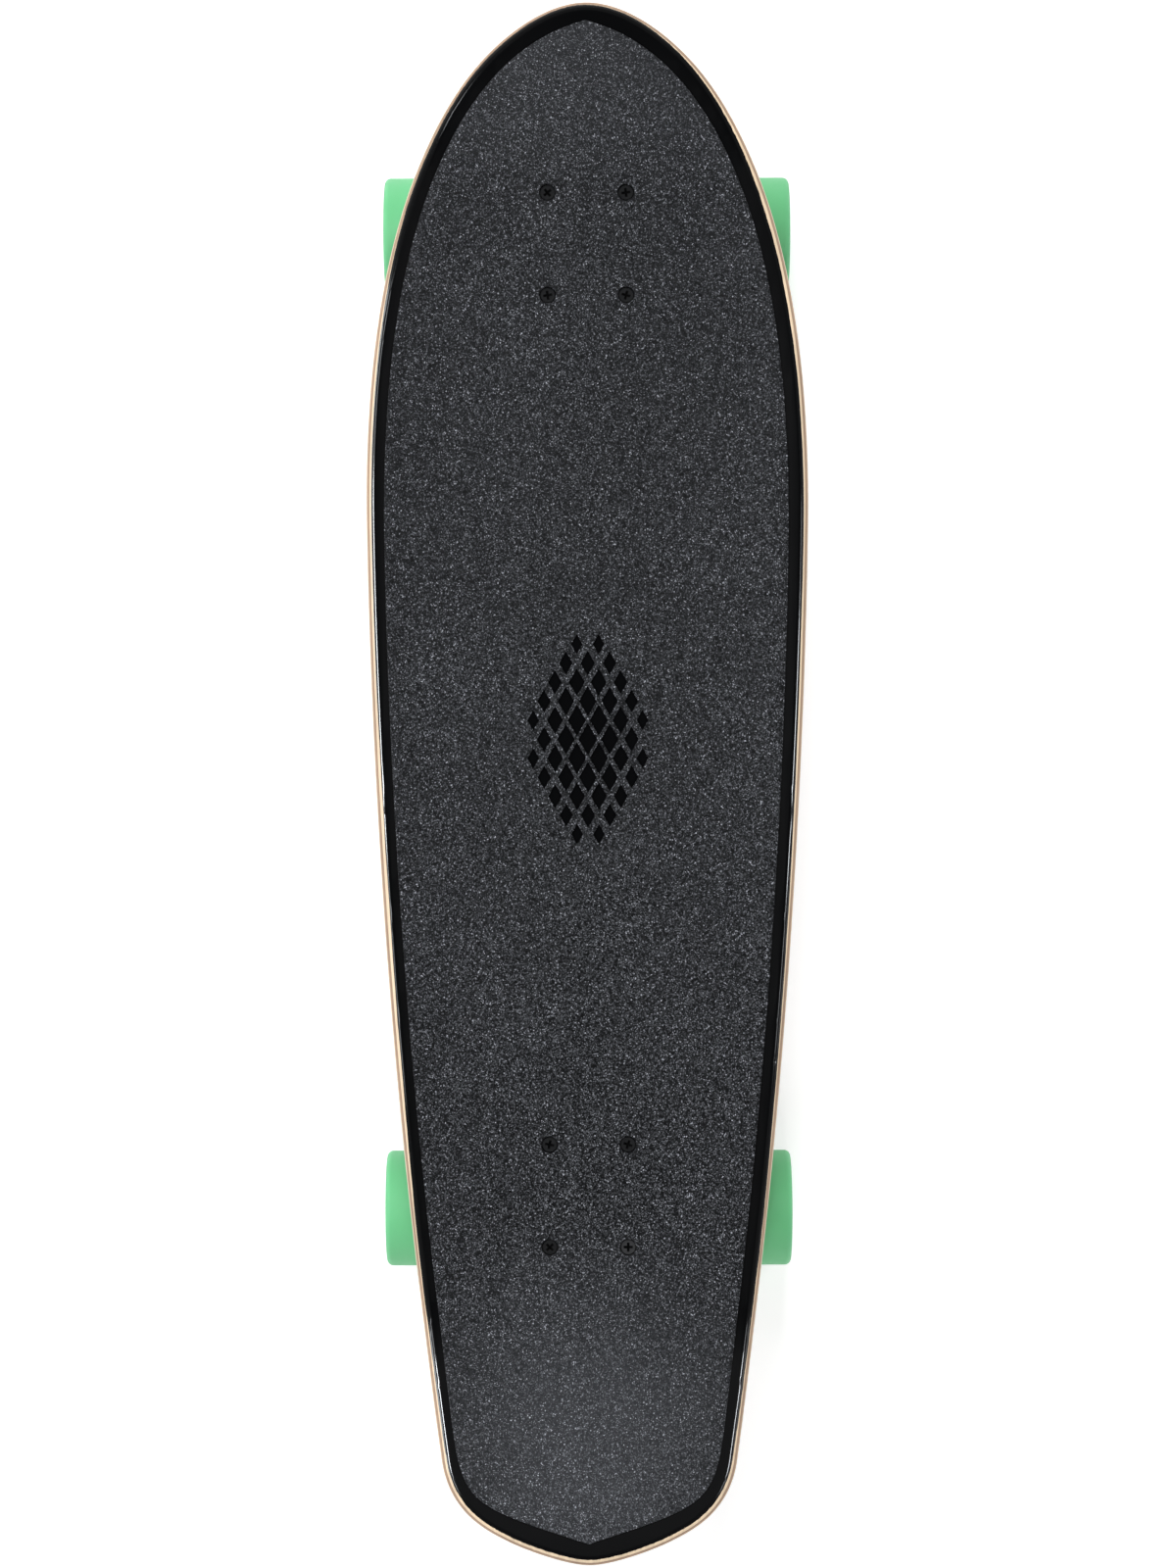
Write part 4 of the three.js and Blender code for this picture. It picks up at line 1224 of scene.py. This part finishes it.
def baseplate_solids():
    plate = rounded_plate("plate", PLATE_TOP - PLATE_THICKNESS, PLATE_TOP + 2 * MM, 0.5 * MM)
    boss = [(0, SEAT - 0.6), (13.9, SEAT - 0.6), (14.3, SEAT + 9), (18.4, SEAT + 17), (0, SEAT + 17)]
    tower = rod("tower", CUP_RADIUS + 3.4, CUP_MOUTH - 0.4, CUP_END + 2.4)
    foot = [(7.7, 49), (7.7, 43), (14.8, 36.8), (24.2, 35.8), (28.3, 41), (28.3, 49)]
    spine = [(-38.3, 49), (-30, 40.6), (-8, 39.6), (2, 40.6), (12, 39.6), (12, 49)]
    return [
        plate,
        settle(turned("boss", boss), ON_KINGPIN),
        settle(tower, ON_PIVOT),
        on_its_side(slab("foot", foot, -10.9, 10.9)),
        on_its_side(slab("spine", spine, -4.4, 4.4)),
    ]


def model_baseplate():
    piece = cast("baseplate", baseplate_solids(), 8)
    with editing(piece):
        bpy.ops.mesh.select_all(action="SELECT")
        bpy.ops.mesh.bisect(plane_co=(0, 0, PLATE_TOP), plane_no=(0, 0, 1), use_fill=True, clear_outer=True)
    top = PLATE_TOP / MM
    cut(piece, *drills(BOLT_RADIUS + SIDE_GAP, top - 20, top + 1))
    cut(piece, settle(rod("kingpin_bore", KINGPIN_BORE, 0, FAR, 40), ON_KINGPIN))
    cut(piece, settle(rod("seat", SEAT_RADIUS, SEAT - 6, SEAT, 56), ON_KINGPIN))
    floor_of_pocket = on_kingpin("kingpin")[1] - POCKET_DEPTH
    cut(piece, settle(rod("pocket", POCKET_RADIUS, floor_of_pocket, FAR, 40), ON_KINGPIN))
    cut(piece, settle(rod("cup_seat", CUP_RADIUS + 0.05, CUP_MOUTH - 8, CUP_END + 0.1, 48), ON_PIVOT))
    return coated(piece, CAST_ALLOY, 38)


fit_both_ends(model_baseplate(), "baseplate", STRAIGHT, "board", "cast_alloy")

# %% [markdown]
# ## Riser pads and pivot cups
#
# Both are black rubber. The riser pad lies between plate and deck and takes up shocks, and it has
# the plate's outline. The pivot cup lines the tower, and its lip shows round the hanger's stem.

# %% Model the rubber pieces
def model_riser():
    low, high = (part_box("front_riser_pad")[i].z - AXLE.z for i in (0, 1))
    pad = rounded_plate("pad", low, high)
    cut(pad, *drills(BOLT_RADIUS + SIDE_GAP, low / MM - 1, high / MM + 1))
    return coated(eased(pad, 0.5, 3, 50), RUBBER)


def model_pivot_cup():
    bore, wall = 5.6, 1.8
    brim, under, over = CUP_RADIUS + 0.6, CUP_MOUTH - 0.6, CUP_MOUTH + 0.1
    inside = [(0, CUP_END - wall), (3.2, CUP_END - wall), (bore, CUP_END - 3.6), (bore, CUP_MOUTH)]
    lip = [(bore + 0.5, under), (brim, under), (brim, over), (CUP_RADIUS, over)]
    cup = turned("cup", [*inside, *lip, (CUP_RADIUS, CUP_END), (0, CUP_END)], 56)
    return coated(eased(cup, 0.3, 3), RUBBER)


fit_both_ends(model_riser(), "riser_pad", STRAIGHT, "board", "black_rubber")
fit_both_ends(model_pivot_cup(), "pivot_cup", ON_PIVOT, "board", "black_rubber")

# %% [markdown]
# ## Kingpin, bushings and washers
#
# The kingpin is a bolt from the deck side down through both bushings. The bottom bushing is a
# barrel and the top one a cone, and each is cupped by a dished washer. When the board leans, the
# bushings are squeezed on one side: their ring ends follow the hanger and their washer ends stay
# with the board.

# %% Model the kingpin, its nut and washers
def model_kingpin():
    low, high, corner = on_kingpin("kingpin")
    radius, tip, pitch, depth = 4.75, 0.8, 1.25, 0.6
    head, threaded = high - 5.5, low + 14
    shank = [(0, low), (radius - tip, low), *threaded_stretch(radius, low + tip, threaded, pitch)]
    pin = turned("kingpin", [*shank, (radius, head + 0.5), (0, head + 0.5)], 40)
    thread(pin, low + tip, threaded, pitch, depth)
    size = {"vertices": 6, "radius": corner * MM, "depth": (high - head) * MM}
    cap = primitive("cylinder", "cap", location=(0, 0, (head + high) / 2 * MM), **size)
    eased(cap, 0.5, 2)
    pin.data.materials.append(ZINC_STEEL)
    return smooth(joined("kingpin", [pin, cap]), 24)


def cup_washer(name, towards):
    """A dished washer. Its rim turns towards the bushing it holds: +1 is up the kingpin."""
    low, high, radius = on_kingpin(name)
    back, front = (low, high) if towards > 0 else (high, low)
    lift = (front - back) / 1.6
    inner = KINGPIN_BORE - 0.1
    brim, dish = front + 0.7 * lift, front - 0.2 * lift
    outside = [(inner, back), (radius - 1.6, back), (radius, back + 0.9 * lift), (radius, brim)]
    inside = [(radius - 0.9, brim), (radius - 2.2, dish), (inner, dish), (inner, back)]
    return coated(eased(turned(name, [*outside, *inside], 64), 0.22, 2), ZINC_STEEL)


KINGPIN_NUT_BORE = 4.8
low, high, corner = on_kingpin("kingpin_nut")
downwards = Matrix.Translation((0, 0, high * MM)) @ UPSIDE_DOWN
kingpin_nut = locking_nut(corner, KINGPIN_NUT_BORE, high - low, ZINC_STEEL)
fit_both_ends(kingpin_nut, "kingpin_nut", ON_KINGPIN @ downwards, "board", "zinc_steel")
fit_both_ends(model_kingpin(), "kingpin", ON_KINGPIN, "board", "zinc_steel")
fit_both_ends(cup_washer("bottom_washer", -1), "bottom_washer", ON_KINGPIN, "board", "zinc_steel")
fit_both_ends(cup_washer("top_washer", 1), "top_washer", ON_KINGPIN, "board", "zinc_steel")


# %% Model the bushings
BUSHING_LAYERS = 12  # layers sliced across each bushing


def bushing(name, profile):
    piece = turned(name, profile, 72)
    eased(piece, 0.8, 4, 25)
    low, high, _ = on_kingpin(name)
    with editing(piece):
        for layer in range(1, BUSHING_LAYERS):
            station = (low + (high - low) * layer / BUSHING_LAYERS) * MM
            bpy.ops.mesh.select_all(action="SELECT")
            bpy.ops.mesh.bisect(plane_co=(0, 0, station), plane_no=(0, 0, 1))
    return coated(piece, IVORY, 40)


def barrel_profile():
    low, high, radius = on_kingpin("bottom_bushing")
    rise = (high - low) / 4
    outside = [(radius, low + 0.8), (radius - 0.15, low + rise), (radius - 0.9, low + 1.6 * rise)]
    waist = [(radius - 0.9, low + 2.4 * rise), (radius - 0.15, low + 3 * rise), (radius - 1.1, high)]
    return [(KINGPIN_BORE, low), (radius, low), *outside, *waist, (KINGPIN_BORE, high), (KINGPIN_BORE, low)]


def cone_profile():
    low, high, radius = on_kingpin("top_bushing")
    narrow = 8.3
    outside = [(narrow, low), (radius, high - 3.2), (radius, high)]
    return [(KINGPIN_BORE, low), *outside, (KINGPIN_BORE, high), (KINGPIN_BORE, low)]


def fit_bushing(name, profile):
    """Place a bushing on both trucks."""
    master = bushing(name, profile)
    remember_own_place(master)
    for end, truck in TRUCKS.items():
        place = truck @ ON_KINGPIN
        copy = copied(master, f"{end}_{name}", place)
        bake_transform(copy)
        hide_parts(f"{end}_{name}")
    bpy.data.objects.remove(master)


fit_bushing("bottom_bushing", barrel_profile())
fit_bushing("top_bushing", cone_profile())

# %% [markdown]
# ## Mounting bolts
#
# Eight countersunk cross-head bolts hold the trucks. From above they are the only metal that
# shows: a dark disc with a cross, each left at its own angle by the screwdriver. The recess is
# cut by two crossed wedges that narrow towards the bottom, and its faces are painted near-black,
# a painted shade in the recess. One head has lost its blacking.

# %% Model the bolts and their nuts
CROSS_TURNS = {"front": (40, 7, 9, -15), "rear": (0, 45, -18, -11)}  # degrees
CROSS_LENGTH, CROSS_WIDTH, CROSS_DEPTH = 5.0, 1.4, 1.9
NUT_TURN = 17  # degrees from each nut to the next
RUBBED_BOLT = "rear_mounting_bolt_1"


def about_z(degrees):
    return Matrix.Rotation(math.radians(degrees), 4, "Z")


def cross_wedge(turn):
    """A wedge as long as the cross, narrower and shorter at its foot."""
    size = (CROSS_LENGTH * MM, CROSS_WIDTH * MM, CROSS_DEPTH * MM)
    wedge = applied(primitive("cube", "wedge", size=1, scale=size))
    with editing(wedge, "FACE"):
        pick(wedge, "faces", lambda face: face.normal.z < -0.5)
        bpy.ops.transform.resize(value=(0.3, 0.55, 1))
    sunk = Matrix.Translation((0, 0, (0.1 - CROSS_DEPTH / 2) * MM))
    return settle(wedge, Matrix.Rotation(turn, 4, "Z") @ sunk)


def model_bolt():
    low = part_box("front_mounting_bolt_1")[0].z / MM - HEAD_TOP
    neck = BOLT_RADIUS - HEAD_RADIUS
    tip, threaded, pitch, depth = 0.5, -14, 0.8, 0.42
    shank = [(0, low), (BOLT_RADIUS - tip, low)]
    shank += threaded_stretch(BOLT_RADIUS, low + tip, threaded, pitch, 5)
    head = [(BOLT_RADIUS, neck - 0.3), (HEAD_RADIUS, -0.3), (HEAD_RADIUS - 0.05, -0.12)]
    bolt = turned("bolt", [*shank, *head, (HEAD_RADIUS - 0.3, 0), (0, 0)], 40)
    thread(bolt, low + tip, threaded, pitch, depth)
    for turn in (0, math.pi / 2):
        cut(bolt, cross_wedge(turn))
    bolt.data.materials.append(BLACK_STEEL)
    # the faces of the cross recess take the second material, a painted shade
    bolt.data.materials.append(RECESS_PAINTED_SHADE)
    for face in bolt.data.polygons:
        sunk = -CROSS_DEPTH * MM - 0.1 * MM < face.center.z < -0.01 * MM
        face.material_index = int(sunk and face.center.xy.length < CROSS_LENGTH / 2 * MM)
    return smooth(bolt, 24)


nut_low, nut_high, nut_corner = gauge("front_mounting_nut_1", FIRST_BOLT, ALONG_Z)
bolt_master = model_bolt()
nut_master = locking_nut(nut_corner, BOLT_RADIUS + 0.05, nut_high - nut_low, BLACK_STEEL)
for master in (bolt_master, nut_master):
    remember_own_place(master)
for end, turns in CROSS_TURNS.items():
    for i, turn in enumerate(turns, 1):
        name = f"{end}_mounting_bolt_{i}"
        x, y, _ = BOLTS[name]
        at_head = Matrix.Translation((x, y, HEAD_TOP * MM)) @ about_z(turn)
        bolt = fit(bolt_master, name, at_head, "board", "black_steel", name)
        if name == RUBBED_BOLT:
            bolt.data.materials[0] = RUBBED_STEEL
        name = f"{end}_mounting_nut_{i}"
        under_deck = Matrix.Translation((x, y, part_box(name)[1].z)) @ UPSIDE_DOWN
        fit(nut_master, name, under_deck @ about_z(NUT_TURN * i), "board", "black_steel", name)
for master in (bolt_master, nut_master):
    bpy.data.objects.remove(master)

# %% [markdown]
# ## The studio
#
# A white floor under soft light. The sky is pale near the horizon and dark overhead, so the black
# lacquer stays black from above while rims and metal still have something bright to mirror. A
# softbox stands at either side and one far past each end. Those at the ends light the board but
# aren't mirrored in it, so the tips of the rim stay black. A narrow strip hangs over each rail,
# with a longer and dimmer glow beside it: those draw the line of light along the rounded rims.

# %% Camera
CAMERA_PLACE = (-0.00205, 0, 2.366)
CAMERA_TURN = -90.13  # degrees, so that the nose points up
CAMERA_LENS = 98.95
CAMERA_REACH = 50
camera = bpy.data.cameras.new("camera")
camera.lens = CAMERA_LENS
camera.clip_end = CAMERA_REACH
seen_from = bpy.data.objects.new("camera", camera)
bpy.context.scene.collection.objects.link(seen_from)
seen_from.location = CAMERA_PLACE
seen_from.rotation_euler = (0, 0, math.radians(CAMERA_TURN))
bpy.context.scene.camera = seen_from


# %% Floor
def paint_floor():
    material, tree, shader, places = blank("white_floor", Roughness=1.0, Specular_IOR_Level=0.0)
    path = add(tree, "LightPath").outputs
    seen = math_node(tree, "ADD", path["Is Camera Ray"], path["Is Glossy Ray"])
    seen = math_node(tree, "ADD", seen, path["Is Transmission Ray"], clamp=True)
    distance = add(tree, "VectorMath", {0: places}, operation="LENGTH").outputs["Value"]
    top_up = remap(tree, distance, *LIT_DISTANCES, FLOOR_TOP_UP, 1.0)
    shader.inputs["Emission Color"].default_value = (1, 1, 1, 1)
    feed(tree, shader, Emission_Strength=math_node(tree, "MULTIPLY", seen, top_up))
    behind = add(tree, "NewGeometry").outputs["Backfacing"]
    from_below = math_node(tree, "MULTIPLY", behind, path["Is Camera Ray"])
    clear = add(tree, "BsdfTransparent").outputs[0]
    surface = add(tree, "MixShader", {0: from_below, 1: shader.outputs[0], 2: clear}).outputs[0]
    tree.links.new(surface, tree.nodes["Material Output"].inputs["Surface"])
    return material


FLOOR_TOP_UP = 0.53
LIT_DISTANCES = (0.9, 3.0)  # the floor is lit by the boxes up to the first and glows past the second
floor = primitive("plane", "floor", size=30)
floor.data.materials.append(paint_floor())


# %% Sky
def paint_sky():
    world = bpy.data.worlds.new("studio")
    world.use_nodes = True
    tree = world.node_tree
    direction = add(tree, "TexCoord").outputs["Generated"]
    up = add(tree, "SeparateXYZ", {0: direction}).outputs["Z"]
    grey = ramped(tree, up, {0.0: 0.75, 0.3: 0.55, 0.62: 0.2, 0.85: 0.06, 0.96: 0.08, 1.0: 0.0})
    seen = blend_colours(tree, add(tree, "LightPath").outputs["Is Camera Ray"], grey, (1, 1, 1, 1))
    tree.links.new(seen, tree.nodes["Background"].inputs["Color"])
    return world


bpy.context.scene.world = paint_sky()


# %% Softboxes
def softbox(name, place, size, power, tint=(1, 1, 1), mirrored=True):
    """An area light of a size in metres that faces the board, and may stay out of reflections."""
    light = bpy.data.lights.new(name, "AREA")
    light.shape = "RECTANGLE"
    light.size, light.size_y = size
    light.energy = power
    light.color = tint
    lamp = bpy.data.objects.new(name, light)
    bpy.context.scene.collection.objects.link(lamp)
    lamp.location = place
    lamp.rotation_euler = (-Vector(place)).to_track_quat("-Z", "Y").to_euler()
    lamp.visible_camera = False
    lamp.visible_glossy = mirrored


COOL = (0.92, 0.96, 1)
softbox("left_box", (0.35, 2.3, 1.9), (1.5, 1.2), 26, COOL)
softbox("right_box", (0.2, -2.3, 1.9), (1.5, 1.2), 4)
softbox("tail_box", (-3.1, 0.1, 3.2), (1.3, 1.8), 44, mirrored=False)
softbox("nose_box", (3.5, 0.1, 3.0), (1.3, 1.8), 105, mirrored=False)
softbox("left_strip", (0.08, 0.5, 1.2), (0.36, 0.1), 3.0, COOL)
softbox("left_glow", (0.1, 0.51, 1.22), (0.85, 0.1), 1.3, COOL)
softbox("right_strip", (-0.01, -0.5, 1.2), (0.24, 0.1), 1.1, COOL)
softbox("right_glow", (-0.03, -0.51, 1.22), (0.5, 0.1), 0.5, COOL)

# %% Colour as it is written
bpy.context.scene.view_settings.view_transform = "Standard"
